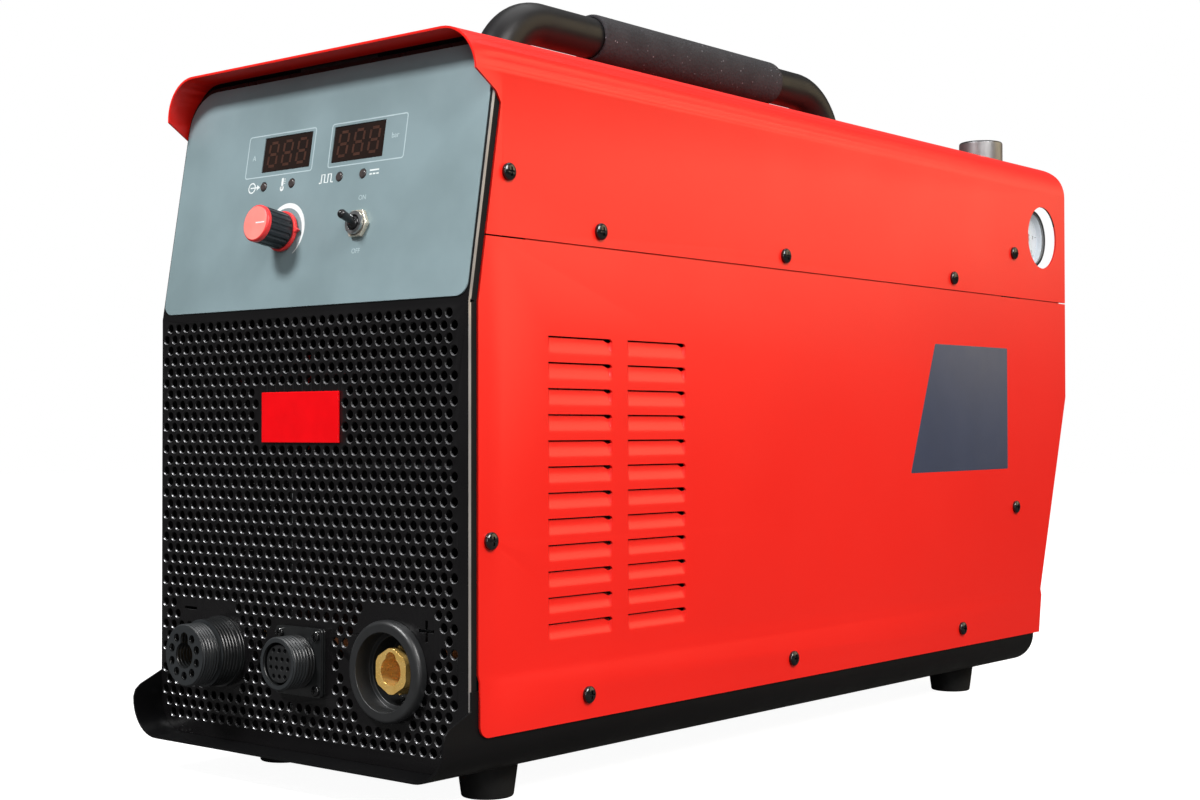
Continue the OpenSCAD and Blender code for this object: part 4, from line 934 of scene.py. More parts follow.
class Program:
    """A Geometry Nodes tree with named inputs, ending in Realize Instances and Set Material."""

    def __init__(self, name: str) -> None:
        """Starts a tree that takes and gives a mesh.

        Args:
            name: The tree's name.
        """
        self.tree = bpy.data.node_groups.new(name, "GeometryNodeTree")
        self.tree.interface.new_socket("Geometry", in_out="OUTPUT", socket_type="NodeSocketGeometry")
        self.tree.interface.new_socket("Geometry", in_out="INPUT", socket_type="NodeSocketGeometry")
        self.start = self.tree.nodes.new("NodeGroupInput")
        self.end = self.tree.nodes.new("NodeGroupOutput")
        self.kinds: dict[str, str] = {}

    def input(self, name: str, kind: str) -> bpy.types.NodeSocket:
        """Adds a named input.

        Args:
            name: The input's name.
            kind: Float, Int, Vector, Object or Material.

        Returns:
            The socket that carries it.
        """
        made = self.tree.interface.new_socket(name, in_out="INPUT", socket_type=f"NodeSocket{kind}")
        self.kinds[name] = made.identifier
        return self.start.outputs[name]

    def node(self, kind: str, inputs: Optional[Inputs] = None, **settings: object) -> bpy.types.Node:
        """Adds a node with its inputs' values or sockets and its own settings."""
        return add_node(self.tree, kind, inputs, settings)

    def set_out(
        self, marks: bpy.types.NodeSocket, part: bpy.types.NodeSocket, **more: Value
    ) -> bpy.types.NodeSocket:
        """Sets a part on the points of a mesh.

        Args:
            marks: The mesh.
            part: What is set on each of its points.
            more: The Rotation and Scale, where they aren't the usual ones.

        Returns:
            The instances.
        """
        points = self.node("GeometryNodeMeshToPoints", {"Mesh": marks}).outputs[0]
        inputs = {"Points": points, "Instance": part, **more}
        return self.node("GeometryNodeInstanceOnPoints", inputs).outputs[0]

    def object_input(self, name: str, **settings: object) -> bpy.types.NodeSocket:
        """Adds a named input for an object and gives its geometry."""
        taken = {"Object": self.input(name, "Object")}
        return self.node("GeometryNodeObjectInfo", taken, **settings).outputs["Geometry"]

    def facing(self) -> bpy.types.NodeSocket:
        """Gives the turn that points Z along a mark's own normal.

        Returns:
            The turn.
        """
        named = self.node("GeometryNodeInputNamedAttribute", {"Name": "facing"}, data_type="FLOAT_VECTOR")
        way = {"Vector": named.outputs[0]}
        return self.node("FunctionNodeAlignRotationToVector", way, axis="Z").outputs[0]

    def cut(self, *tools: bpy.types.NodeSocket) -> bpy.types.NodeSocket:
        """Takes tools off the mesh that the tree is given.

        Args:
            tools: Geometry to take off.

        Returns:
            What is left.
        """
        made = self.node("GeometryNodeMeshBoolean", operation="DIFFERENCE", solver="MANIFOLD")
        self.tree.links.new(self.start.outputs["Geometry"], made.inputs["Mesh 1"])
        for tool in tools:
            self.tree.links.new(tool, made.inputs["Mesh 2"])
        return made.outputs["Mesh"]

    def math(self, operation: str, first: Value, second: Value = 0.0) -> bpy.types.NodeSocket:
        """Adds a sum, product or other operation on numbers."""
        return self.node("ShaderNodeMath", {0: first, 1: second}, operation=operation).outputs[0]

    def close(self, geometry: bpy.types.NodeSocket) -> None:
        """Ends the tree with real geometry in the named material.

        Args:
            geometry: What the tree has made.
        """
        real = self.node("GeometryNodeRealizeInstances", {"Geometry": geometry}).outputs[0]
        finish = self.input("Finish", "Material")
        painted = self.node("GeometryNodeSetMaterial", {"Geometry": real, "Material": finish})
        self.tree.links.new(painted.outputs[0], self.end.inputs[0])

    def run(self, base: bpy.types.Object, **values: object) -> bpy.types.Object:
        """Runs the tree on a piece and keeps the plain mesh.

        Args:
            base: The piece, which gets the new mesh.
            values: The named inputs, with underscores for spaces.

        Returns:
            The piece.
        """
        rule = base.modifiers.new(self.tree.name, "NODES")
        rule.node_group = self.tree
        for name, value in values.items():
            rule[self.kinds[name.replace("_", " ")]] = value
        return baked(base)


def copies_program() -> Program:
    """Builds the tree that sets copies of one part on marked points.

    Returns:
        The tree, with the inputs Part, Size and Finish.
    """
    made = Program("set_on_points")
    part = made.object_input("Part", transform_space="ORIGINAL")
    size = made.input("Size", "Float")
    placed = made.set_out(made.start.outputs["Geometry"], part, Rotation=made.facing(), Scale=size)
    made.close(placed)
    return made


def perforation_program() -> Program:
    """Builds the tree that punches a hole with a rounded lip at every marked point.

    Returns:
        The tree, with the inputs Hole Radius, Depth, Lip, Sides, Marks, Slots and Finish.
    """
    made = Program("perforation")
    radius = made.input("Hole Radius", "Float")
    depth = made.input("Depth", "Float")
    lip = made.input("Lip", "Float")
    drum = made.node(
        "GeometryNodeMeshCylinder",
        {
            "Vertices": made.input("Sides", "Int"),
            "Side Segments": 3,
            "Radius": radius,
            "Depth": made.math("MULTIPLY", depth, 2.0),
        },
        fill_type="NGON",
    ).outputs["Mesh"]
    where = made.node("GeometryNodeInputPosition").outputs[0]
    split = made.node("ShaderNodeSeparateXYZ", {0: where})
    height = split.outputs["Z"]
    front = made.math("GREATER_THAN", height, made.math("MULTIPLY", depth, 0.8))
    middle = made.math("GREATER_THAN", height, 0.0)
    flare = made.math("DIVIDE", made.math("MULTIPLY", lip, 2.0), radius)
    grown = made.math("ADD", 1.0, made.math("MULTIPLY", front, flare))
    below = made.math("MULTIPLY", height, made.math("SUBTRACT", 1.0, middle))
    edge = made.math("MULTIPLY", lip, made.math("SUBTRACT", made.math("MULTIPLY", front, 2.0), middle))
    moved = made.node(
        "ShaderNodeCombineXYZ",
        {
            "X": made.math("MULTIPLY", split.outputs["X"], grown),
            "Y": made.math("MULTIPLY", split.outputs["Y"], grown),
            "Z": made.math("ADD", below, edge),
        },
    ).outputs[0]
    cutter = made.node("GeometryNodeSetPosition", {"Geometry": drum, "Position": moved}).outputs[0]
    drums = made.set_out(made.object_input("Marks"), cutter, Rotation=made.facing())
    real = made.node("GeometryNodeRealizeInstances", {"Geometry": drums}).outputs[0]
    made.close(made.cut(real, made.object_input("Slots")))
    return made


def louvre_program() -> Program:
    """Builds the tree that opens a window at every marked point and sets a pressed blade in it.

    Returns:
        The tree, with the inputs Marks, Window, Blade and Finish.
    """
    made = Program("louvres")
    marks = made.object_input("Marks")
    windows = made.set_out(marks, made.object_input("Window"))
    blades = made.set_out(marks, made.object_input("Blade"))
    real = made.node("GeometryNodeRealizeInstances", {"Geometry": windows}).outputs[0]
    both = made.node("GeometryNodeJoinGeometry")
    made.tree.links.new(made.cut(real), both.inputs[0])
    made.tree.links.new(blades, both.inputs[0])
    made.close(both.outputs[0])
    return made


def marked_points(name: str, spots: Sequence[tuple[Plane, Point3]]) -> bpy.types.Object:
    """Makes loose points that carry the normal of their plane.

    Args:
        name: The object's name.
        spots: Planes with points in their millimetres.

    Returns:
        An object of points with a facing attribute.
    """
    data = bpy.data.meshes.new(name)
    data.from_pydata([plane.matrix() @ Vector(spot) for plane, spot in spots], [], [])
    facing = data.attributes.new("facing", "FLOAT_VECTOR", "POINT")
    for item, (plane, _) in zip(facing.data, spots):
        item.vector = plane.out
    return linked(name, data)


def discard(*pieces: bpy.types.Object) -> None:
    """Removes helper objects."""
    for piece in pieces:
        bpy.data.objects.remove(piece)


# ---- Assemblies ----


@dataclass
class Assembly:
    """A group of pieces that are made and dressed together."""

    made: list[bpy.types.Object] = field(default_factory=list, init=False)
    primed_from: float = field(default=-285.0, init=False)
    primed_lean: float = field(default=0.3, init=False)

    def put(
        self, piece: bpy.types.Object, finish: Finish, slot: str, *nodes: str, body: str = CHASSIS
    ) -> bpy.types.Object:
        """Dresses a piece and sets it on its body.

        Args:
            piece: The finished mesh.
            finish: What it is made of.
            slot: The record's slot for that finish, which is not used.
            nodes: CAD nodes that it stands for.
            body: The body that it moves with.

        Returns:
            The piece.
        """
        piece.data.materials.clear()
        piece.data.materials.append(finish.material())
        if nodes:
            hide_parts(*nodes)
        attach(piece, body)
        self.made.append(piece)
        LOG.info("%s: %d faces on %s", piece.name, len(piece.data.polygons), body)
        return piece

    def repainted(
        self, piece: bpy.types.Object, finish: Finish, chosen: Callable[[bpy.types.MeshPolygon], bool]
    ) -> bpy.types.Object:
        """Gives some faces of a dressed piece another finish.

        Args:
            piece: The piece.
            finish: The other finish.
            chosen: Says whether a face gets it.

        Returns:
            The piece.
        """
        piece.data.materials.append(finish.material())
        index = len(piece.data.materials) - 1
        for face in piece.data.polygons:
            if chosen(face):
                face.material_index = index
        return piece

    def inward(self, face: bpy.types.MeshPolygon) -> bool:
        """Whether a face looks into the cabinet and lies behind its painted front edge.

        Args:
            face: The face.

        Returns:
            True where it gets the primer.
        """
        x, y, z = face.center
        rise = z - MIDDLE_Z * MM
        lean = face.normal.x * x + face.normal.z * rise
        return y > self.primed_from * MM and lean < -self.primed_lean * math.hypot(x, rise)

    def primed(self, piece: bpy.types.Object, finish: Finish) -> bpy.types.Object:
        """Gives the faces that look into the cabinet the primer of its inside.

        Args:
            piece: A dressed sheet of the cabinet.
            finish: The primer.

        Returns:
            The piece.
        """
        mesh = bmesh.new()
        mesh.from_mesh(piece.data)
        bmesh.ops.bisect_plane(
            mesh,
            geom=mesh.verts[:] + mesh.edges[:] + mesh.faces[:],
            plane_co=(0.0, self.primed_from * MM, 0.0),
            plane_no=(0.0, 1.0, 0.0),
        )
        mesh.to_mesh(piece.data)
        mesh.free()
        return self.repainted(piece, finish, self.inward)

    def soft(
        self, node: str, finish: Finish, slot: str, width: float, body: str = CHASSIS, segments: int = 2
    ) -> bpy.types.Object:
        """Stands a softened copy in for a CAD node."""
        return self.put(softened(node, node + "_look", width, segments), finish, slot, node, body=body)

    def build(self) -> None:
        """Makes every piece of the group."""
        raise NotImplementedError


class Side(Enum):
    """A side of the cabinet, with its plane."""

    RIGHT = RIGHT
    LEFT = LEFT


@dataclass
class Shell(Assembly):
    """Tray, top cover, side panels with their louvres, rear panel, feet and the side decal."""

    sheet: float = 1.2
    louvre_columns: tuple[float, ...] = (55.3, 118.3)
    louvre_top: float = 233.3
    louvre_count: int = 12
    louvre_pitch: float = 13.05
    louvre_length: float = 51.0
    louvre_height: float = 8.5
    louvre_depth: float = 1.25
    louvre_foot: float = 1.5
    louvre_head: float = 0.6
    cut_drop: float = 3.2
    cut_run: float = 2.4
    ramp: float = 5.0
    press_run: float = 2.4
    press_share: float = 0.6
    sag_rise: float = 2.0
    sags: tuple[float, float] = (1.7, 0.0)
    gap_shares: tuple[float, float] = (0.09, 0.0)
    decal: tuple[Point2, ...] = ((411.6, 157.7), (546.7, 158.4), (546.4, 243.5), (443.8, 243.1))
    decal_rise: float = 0.06

    def build(self) -> None:
        """Makes the shell."""
        self.soft("base_tray", TRAY_BLACK, "black_paint", 0.35)
        self.primed(self.soft("top_cover", RED_ENAMEL, "red_paint", 0.4), INNER_PRIMER)
        self.soft("rear_panel", BLACK_POWDER, "black_paint", 0.3)
        self.soft("rubber_feet", RUBBER, "foot_rubber", 0.8, segments=3)
        for side, node in ((Side.RIGHT, "side_panel_right"), (Side.LEFT, "side_panel_left")):
            self.side_panel(side, node)
        plate = Shape(RIGHT).prism(eased(self.decal, 1.2, closed=True), -0.02, self.decal_rise)
        self.put(plate.build("side_decal", 0.02), DECAL_GREY, "overlay_film")

    def cut_line(self, along: float) -> float:
        """Height of the lanced line that parts blade and sheet, which turns down at its rear end.

        Args:
            along: Millimetres from the louvre's start.

        Returns:
            The height, from 0 down.
        """
        end = self.louvre_length - along
        if end >= self.cut_run:
            return 0.0
        reach = 1.0 - end / self.cut_run
        return -self.cut_drop * (1.0 - math.sqrt(max(0.0, 1.0 - reach**2)))

    def edge_line(self, along: float, sag: float) -> float:
        """Height of the blade's lanced edge in the flat sheet, which sags near its rear end.

        Args:
            along: Millimetres from the louvre's start.
            sag: How far the edge sags.

        Returns:
            The height.
        """
        end = self.louvre_length - along
        rise = min(1.0, end / self.sag_rise)
        fall = min(1.0, max(0.0, (end - self.sag_rise) / self.ramp))
        return self.cut_line(along) - sag * eased_step(rise) * (1.0 - eased_step(fall))

    def pressed(self, along: float, height: float, gap: float) -> Point3:
        """Presses a point of the flat sheet into the blade's front.

        Args:
            along: Millimetres from the louvre's start.
            height: Its height in the flat sheet.
            gap: Share of the louvre's height that its slit takes.

        Returns:
            The point after pressing.
        """
        end = min(along, self.louvre_length - along)
        share = eased_step(min(1.0, end / self.press_run))
        over = height + self.louvre_height
        up = max(0.0, over) / self.louvre_height
        bend = eased_step(min(1.0, up / self.press_share))
        shrink = 1.0 - share * gap
        return (along, -self.louvre_height + over * shrink, -share * self.louvre_depth * bend)

    def blade(self, plane: Plane, flip: float, gap: float, sag: float) -> bpy.types.Object:
        """Makes one louvre with the strip of sheet above its slit.

        Args:
            plane: The panel's plane, with its origin at the louvre's start.
            flip: 1 or -1 for the direction in which the louvre runs.
            gap: Share of the louvre's height that its slit takes.
            sag: How far the edge sags near its rear end.

        Returns:
            The louvre.
        """
        ends = [0.0, 0.3, 0.7, 1.2, 1.8, 2.4, 3.0, 4.0, 5.0, 6.0, 7.5, 9.0]
        span = self.louvre_length - 2.0 * ends[-1]
        middle = [ends[-1] + span * k / 5 for k in range(1, 5)]
        stations = ends + middle + [self.louvre_length - e for e in reversed(ends)]
        foot = -self.louvre_height - self.louvre_foot
        shape = Shape(plane)
        fronts, backs = [], []
        levels = [0.0, 0.14, 0.24, 0.36, 0.5, 0.7, 0.86, 1.0]
        for level in levels:
            front = []
            for along in stations:
                height = foot + (self.edge_line(along, sag) - foot) * level
                front.append(
                    self.pressed(along, height, gap) if height > -self.louvre_height else (along, height, 0.0)
                )
            fronts.append([(flip * u, v, n) for u, v, n in front])
            backs.append([(flip * u, v, n - self.sheet) for u, v, n in front])
        shape.grid(fronts, backs)
        strip_f = [
            [(flip * u, self.cut_line(u), 0.0) for u in stations],
            [(flip * u, self.louvre_head, 0.0) for u in stations],
        ]
        strip_b = [[(u, v, n - self.sheet) for u, v, n in row] for row in strip_f]
        shape.grid(strip_f, strip_b)
        return shape.build("louvre_blade")

    def side_panel(self, side: Side, node: str) -> None:
        """Sets the pressed louvres into a side panel.

        Args:
            side: Which side it is.
            node: Its CAD node.
        """
        plane = side.value
        flip = plane.across[1]
        base = Plane((0.0, 0.0, 0.0), plane.across, plane.along, plane.out)
        low, high = -self.louvre_height - self.louvre_foot, self.louvre_head
        end = flip * self.louvre_length
        spots = [(0.0, low), (end, low), (end, high), (0.0, high)]
        window = Shape(base).prism(spots, -8.0, 2.0).build("louvre_window")
        which = 0 if side is Side.RIGHT else 1
        blade = self.blade(base, flip, self.gap_shares[which], self.sags[which])
        marks = marked_points(
            "louvre_marks",
            [
                (plane, (flip * column, self.louvre_top - row * self.louvre_pitch, 0.0))
                for column in self.louvre_columns
                for row in range(self.louvre_count)
            ],
        )
        panel = softened(node, node + "_look", 0.5, segments=3)
        louvre_program().run(panel, Marks=marks, Window=window, Blade=blade, Finish=RED_ENAMEL.material())
        discard(marks, window, blade)
        smooth(panel, 40.0)
        self.primed(self.put(weighted(panel), RED_ENAMEL, "red_paint", node), INNER_PRIMER)


@dataclass(frozen=True)
class PlainDisc:
    """A round area without holes."""

    x: float
    z: float
    radius: float

    def holds(self, x: float, z: float) -> bool:
        """Whether a hole's middle would lie in the area."""
        return math.hypot(x - self.x, z - self.z) < self.radius


@dataclass(frozen=True)
class PlainBox:
    """A rectangular area without holes."""

    low_x: float
    high_x: float
    low_z: float
    high_z: float

    def holds(self, x: float, z: float) -> bool:
        """Whether a hole's middle would lie in the area."""
        return self.low_x < x < self.high_x and self.low_z < z < self.high_z


@dataclass
class Grille(Assembly):
    """The perforated front sheet with its name plate and the marks of the two poles."""

    pitch: float = 7.0
    hole_radius: float = 2.25
    lip: float = 0.46
    sides: int = 14
    first_x: float = -69.4
    first_z: float = 230.6
    rows: tuple[int, int] = (-2, 33)
    columns: tuple[int, int] = (-8, 27)
    field_x: Point2 = (-115.8, 110.8)
    corner: Point3 = (100.0, 39.0, 13.5)
    band: float = 1.8
    flange_x: float = 118.0
    flange_turn: float = 0.93
    hole_x: float = 117.0
    hole_depths: Point2 = (-0.1, 1.6)
    hole_turn: float = 0.75
    hole_rise: float = 0.35
    mark_length: float = 10.5
    mark_width: float = 1.7
    minus_spot: Point2 = (-92.6, 88.9)
    plus_spot: Point2 = (90.6, 88.9)
    plain: tuple[Union[PlainDisc, PlainBox], ...] = (
        PlainBox(-36.0, 30.0, 181.0, 208.5),
        PlainDisc(-65.5, SOCKET_Z, 23.5),
        PlainBox(-103.0, -57.0, 83.0, 93.0),
        PlainBox(-24.5, 24.5, 46.0, 88.0),
        PlainDisc(60.0, SOCKET_Z, 29.3),
        PlainBox(44.0, 97.0, 89.0, 99.0),
        PlainBox(60.0, 100.0, 83.0, 88.0),
        PlainBox(60.0, 97.0, 70.0, 82.0),
    )

    def holes(self) -> list[Point2]:
        """Finds the middles of the holes on their staggered grid.

        Returns:
            Their places across and up.
        """
        spots = []
        row_step = self.pitch * math.sin(math.radians(60.0))
        for row in range(self.rows[0], self.rows[1] + 1):
            z = self.first_z - row * row_step
            shift = self.pitch / 2 if row % 2 else 0.0
            for column in range(self.columns[0], self.columns[1] + 1):
                x = self.first_x + column * self.pitch + shift
                past = abs(x) > self.corner[0] and z < self.corner[1]
                if past and math.hypot(abs(x) - self.corner[0], z - self.corner[1]) > self.corner[2]:
                    continue
                inside = self.field_x[0] < x < self.field_x[1]
                if inside and not any(area.holds(x, z) for area in self.plain):
                    spots.append((x, z))
        return spots

    def slots(self) -> bpy.types.Object:
        """Makes the cutters for the minus and the plus beside the sockets.

        Returns:
            Both as one mesh.
        """
        shape = Shape(GRILLE)
        long, wide = self.mark_length, self.mark_width
        shape.prism(box_outline(long, wide, 0.3, 2), -4.0, 2.0, self.minus_spot)
        shape.prism(cross_outline(long / 2, wide / 2), -4.0, 2.0, self.plus_spot)
        return shape.build("mark_slots")

    def depth(self, spot: Vector) -> float:
        """Millimetres from the sheet's front surface to a point behind it."""
        return min((Vector(side.origin) - spot / MM).dot(Vector(side.out)) for side in (GRILLE, PANEL))

    def banded(self, sheet: bpy.types.Object) -> None:
        """Cuts the side flanges along a line behind their bends; the front band gets a painted highlight, the
        rest a matt black.

        Args:
            sheet: The dressed front sheet.
        """
        mesh = bmesh.new()
        mesh.from_mesh(sheet.data)
        for side in (GRILLE, PANEL):
            flanges = [f for f in mesh.faces if self.on_flange(f.normal, f.calc_center_median())]
            geometry = list({item for f in flanges for item in (f, *f.edges, *f.verts)})
            middle = Vector(side.origin) - self.band * Vector(side.out)
            bmesh.ops.bisect_plane(mesh, geom=geometry, plane_co=middle * MM, plane_no=side.out)
        mesh.to_mesh(sheet.data)
        mesh.free()
        # The band next to the bend gets the painted highlight; the flange behind it stays matt black.
        for finish, behind in ((FLANGE_BLACK, True), (PAINTED_BEND_HIGHLIGHT, False)):
            self.repainted(
                sheet,
                finish,
                lambda f: self.on_flange(f.normal, f.center) and (self.depth(f.center) > self.band) == behind,
            )

    def on_flange(self, normal: Vector, spot: Vector) -> bool:
        """Whether a face lies on the outside of a side flange."""
        return abs(normal.x) > self.flange_turn and abs(spot.x) > self.flange_x * MM

    def on_hole(self, face: bpy.types.MeshPolygon) -> bool:
        """Whether a face lies inside a hole and looks up.

        Args:
            face: A face of the front sheet.

        Returns:
            True where the painted glint goes.
        """
        low, high = self.hole_depths
        inside = abs(face.center.x) < self.hole_x * MM and face.center.z < BEND_Z * MM
        inside = inside and low < self.depth(face.center) < high
        return inside and abs(face.normal.y) < self.hole_turn and face.normal.z > self.hole_rise

    def build(self) -> None:
        """Makes the perforated sheet and what is fixed to it."""
        sheet = softened("front_panel", "front_panel_look", 0.3, segments=3)
        spots = self.holes()
        marks = marked_points("hole_marks", [(GRILLE, (x, z, 0.0)) for x, z in spots])
        slots = self.slots()
        perforation_program().run(
            sheet,
            Hole_Radius=self.hole_radius * MM,
            Depth=3.0 * MM,
            Lip=self.lip * MM,
            Sides=self.sides,
            Marks=marks,
            Slots=slots,
            Finish=BLACK_POWDER.material(),
        )
        discard(marks, slots)
        smooth(sheet, 30.0)
        self.put(sheet, BLACK_POWDER, "black_paint", "front_panel")
        self.banded(sheet)
        # The hole walls that look up get pale metallic paint as painted glints.
        self.repainted(sheet, PAINTED_HOLE_GLINT, self.on_hole)
        LOG.info("%d holes", len(spots))
        self.soft("name_plate", PLATE_RED, "plate_red", 0.35)


@dataclass
class ControlPanel(Assembly):
    """The overlay with its frames and marks, displays, lamps, knob and switch."""

    surface: float = 0.8
    ink: float = 0.05
    line: float = 0.6
    window_s: float = 88.0
    windows: tuple[float, float] = (-28.8, 27.0)
    frames: tuple[tuple[float, float], ...] = ((-61.2, -7.0), (5.8, 62.1))
    frame_s: tuple[float, float] = (76.0, 99.3)
    knob: Point2 = (-22.0, 43.5)
    switch: Point2 = (35.5, 43.5)
    arc_radius: float = 14.5
    lamp_s: float = 70.3
    lamps: tuple[float, ...] = (-44.6, -21.8, 15.7, 33.5)
    arc_start: float = 150.0
    arc_sweep: float = 205.0
    arc_widths: Point2 = (0.4, 2.4)
    circle_sides: int = 20
    cap_top: float = 21.0
    cap_mark: Point2 = (0.5, 7.4)
    digit_step: float = 11.6
    digit_gap: float = 0.9

    def build(self) -> None:
        """Makes the control panel."""
        self.soft("control_overlay", OVERLAY_FILM, "overlay_film", 0.28)
        self.prints()
        for node, x in (("current_display", self.windows[0]), ("pressure_display", self.windows[1])):
            self.soft(node, DISPLAY_FACE, "display_face", 0.25)
            self.digits(node + "_digits", x)
        self.soft("status_lamps", LAMP_LENS, "lamp_lens", 0.3)
        self.soft("control_board", BOARD, "board", 0.2)
        self.soft("knob_body", KNOB_BLACK, "black_plastic", 0.22, body="knob")
        cap = self.soft("knob_cap", KNOB_RED, "knob_red", 0.35, body="knob", segments=3)
        # The cap's front face gets the paler pink of a painted highlight.
        self.repainted(cap, PAINTED_CAP_HIGHLIGHT, lambda face: face.normal.dot(Vector(PANEL.out)) > 0.97)
        self.soft("knob_skirt", KNOB_RED, "knob_red", 0.2, body="knob")
        self.soft("potentiometer", ZINC_STEEL, "zinc_steel", 0.15)
        self.soft("toggle_body", ZINC_STEEL, "zinc_steel", 0.2)
        self.soft("toggle_nut", NICKEL, "zinc_steel", 0.3)
        self.soft("toggle_lever", LEVER_BLACK, "black_plastic", 0.1, body="toggle")
        start, end = self.cap_mark
        mark = Shape(PANEL.shifted(*self.knob)).ribbon(
            [(start, 0.0), (end, 0.0)], 0.7, self.cap_top - 0.02, self.cap_top + 0.05
        )
        self.put(mark.build("knob_mark"), PRINT_WHITE, "dial_white", body="knob")

    def arc(self, shape: Shape, low: float, high: float) -> None:
        """Draws the tapered arc round the knob.

        Args:
            shape: What it is drawn in.
            low: Height of its underside.
            high: Height of its top.
        """
        steps = 40
        thin, more = self.arc_widths
        line, widths = [], []
        for k in range(steps + 1):
            t = k / steps
            angle = math.radians(self.arc_start - self.arc_sweep * t)
            across, along = self.arc_radius * math.cos(angle), self.arc_radius * math.sin(angle)
            line.append((self.knob[0] + across, self.knob[1] + along))
            widths.append(thin + more * math.sin(math.pi * min(1.0, 0.1 + t * 0.95)))
        shape.ribbon(line, widths, low, high)

    def circle(self, u: float, v: float, radius: float) -> list[Point2]:
        """Points round a circle."""
        turns = [math.tau * k / self.circle_sides for k in range(self.circle_sides)]
        return [(u + radius * math.cos(turn), v + radius * math.sin(turn)) for turn in turns]

    def signs(self, shape: Shape, low: float, high: float) -> None:
        """Draws the plain signs beside the lamps: output, heat, switching and direct current.

        Args:
            shape: What they are drawn in.
            low: Height of their underside.
            high: Height of their top.
        """
        s = self.lamp_s
        u = self.lamps[0] - 9.6
        shape.ribbon(self.circle(u, s, 2.7), 0.7, low, high, closed=True)
        shape.ribbon([(u - 1.2, s), (u + 4.6, s)], 0.7, low, high)
        shape.prism([(u + 4.2, s - 1.5), (u + 6.6, s), (u + 4.2, s + 1.5)], low, high)
        u = self.lamps[1] - 7.4
        shape.prism(box_outline(1.6, 6.0, 0.7), low, high, (u, s + 0.6))
        shape.prism(self.circle(0.0, 0.0, 1.5), low, high, (u, s - 2.2))
        for k in range(3):
            shape.ribbon([(u + 1.4, s + 0.4 + 1.2 * k), (u + 2.3, s + 0.4 + 1.2 * k)], 0.4, low, high)
        u = self.lamps[2] - 10.0
        wave = [
            (-5.2, -2.2), (-3.6, -2.2), (-3.6, 2.2), (-1.2, 2.2), (-1.2, -2.2),
            (1.4, -2.2), (1.4, 2.2), (3.8, 2.2), (3.8, -2.2), (5.4, -2.2),
        ]
        shape.ribbon([(u + a, s + b) for a, b in wave], 0.8, low, high)
        u = self.lamps[3] + 8.6
        shape.ribbon([(u - 3.4, s + 1.2), (u + 3.4, s + 1.2)], 0.8, low, high)
        for k in (-1, 0, 1):
            shape.ribbon([(u + 2.5 * k - 0.9, s - 0.8), (u + 2.5 * k + 0.9, s - 0.8)], 0.8, low, high)

    def prints(self) -> None:
        """Makes the printed frames, the arc round the knob and the plain marks."""
        low, high = self.surface - 0.03, self.surface + self.ink
        frames = Shape(PANEL)
        s0, s1 = self.frame_s
        for u0, u1 in self.frames:
            middle = ((u0 + u1) / 2, (s0 + s1) / 2)
            outline = [(middle[0] + u, middle[1] + v) for u, v in box_outline(u1 - u0, s1 - s0, 1.6)]
            frames.ribbon(outline, self.line, low, high, closed=True)
        self.put(frames.build("panel_frames"), PRINT_PALE, "dial_white")
        shape = Shape(PANEL)
        self.arc(shape, low, high)
        self.signs(shape, low, high)
        self.put(shape.build("panel_print"), PRINT_WHITE, "dial_white")
        words = [
            lettering("unit_current", "A", PANEL.shifted(-55.5, 87.0), 4.2, low, high),
            lettering("unit_pressure", "bar", PANEL.shifted(54.5, 88.5), 4.2, low, high),
            lettering("switch_on", "ON", PANEL.shifted(self.switch[0], 57.5), 3.6, low, high),
            lettering("switch_off", "OFF", PANEL.shifted(self.switch[0], 29.5), 3.6, low, high),
        ]
        self.put(joined("panel_lettering", words), PRINT_PALE, "dial_white")

    def digits(self, name: str, x: float) -> None:
        """Makes the three unlit figures behind a window.

        Args:
            name: The piece's name.
            x: Middle of the window.
        """
        top = self.surface - 0.3
        shape = Shape(PANEL)
        lean, half_w, half_h, bar, gap = 0.08, 3.3, 6.4, 1.5, self.digit_gap
        levels = (-half_h, 0.0, half_h)
        strokes = []
        for k in (-1, 0, 1):
            centre = x + k * self.digit_step
            for level in levels:
                left, right = centre - half_w + gap + lean * level, centre + half_w - gap + lean * level
                strokes.append([(left, self.window_s + level), (right, self.window_s + level)])
            for low, high in zip(levels, levels[1:]):
                for side in (-half_w, half_w):
                    start, end = low + gap, high - gap
                    strokes.append([
                        (centre + side + lean * start, self.window_s + start),
                        (centre + side + lean * end, self.window_s + end),
                    ])
        for stroke in strokes:
            shape.ribbon(stroke, bar, top - 0.02, top + 0.03)
        self.put(shape.build(name), SEGMENT, "display_face")


@dataclass
class Sockets(Assembly):
    """The torch, pilot and work sockets on the grille."""

    face_y: float = -315.0
    face_turn: float = 0.8

    def on_face(self, face: bpy.types.MeshPolygon) -> bool:
        """Whether a face of a socket looks forward and stands clear of the grille."""
        return face.normal.y < -self.face_turn and face.center.y < self.face_y * MM

    def build(self) -> None:
        """Makes the sockets."""
        torch = self.soft("torch_socket", THREADED_BLACK, "black_plastic", 0.22)
        self.soft("torch_contacts", BRASS, "brass", 0.15)
        self.soft("socket_nuts", ZINC_STEEL, "zinc_steel", 0.3)
        pilot = self.soft("pilot_socket", THREADED_BLACK, "black_plastic", 0.22)
        for socket in (torch, pilot):
            self.repainted(socket, SOCKET_FACE, self.on_face)
        self.soft("pilot_insert", MOULDED_BLACK, "black_plastic", 0.15)
        self.soft("work_socket", COLLAR_GREY, "black_plastic", 0.35)
        self.soft("work_insert", BRASS, "brass", 0.45, segments=3)


@dataclass(frozen=True)
class ScrewSet:
    """Screws of one kind, with their sizes and the places of their heads."""

    node: str
    slot: str
    finish: Finish
    head_d: float
    head_h: float
    shank_d: float
    shank_l: float
    spots: tuple[tuple[Plane, Point3], ...]


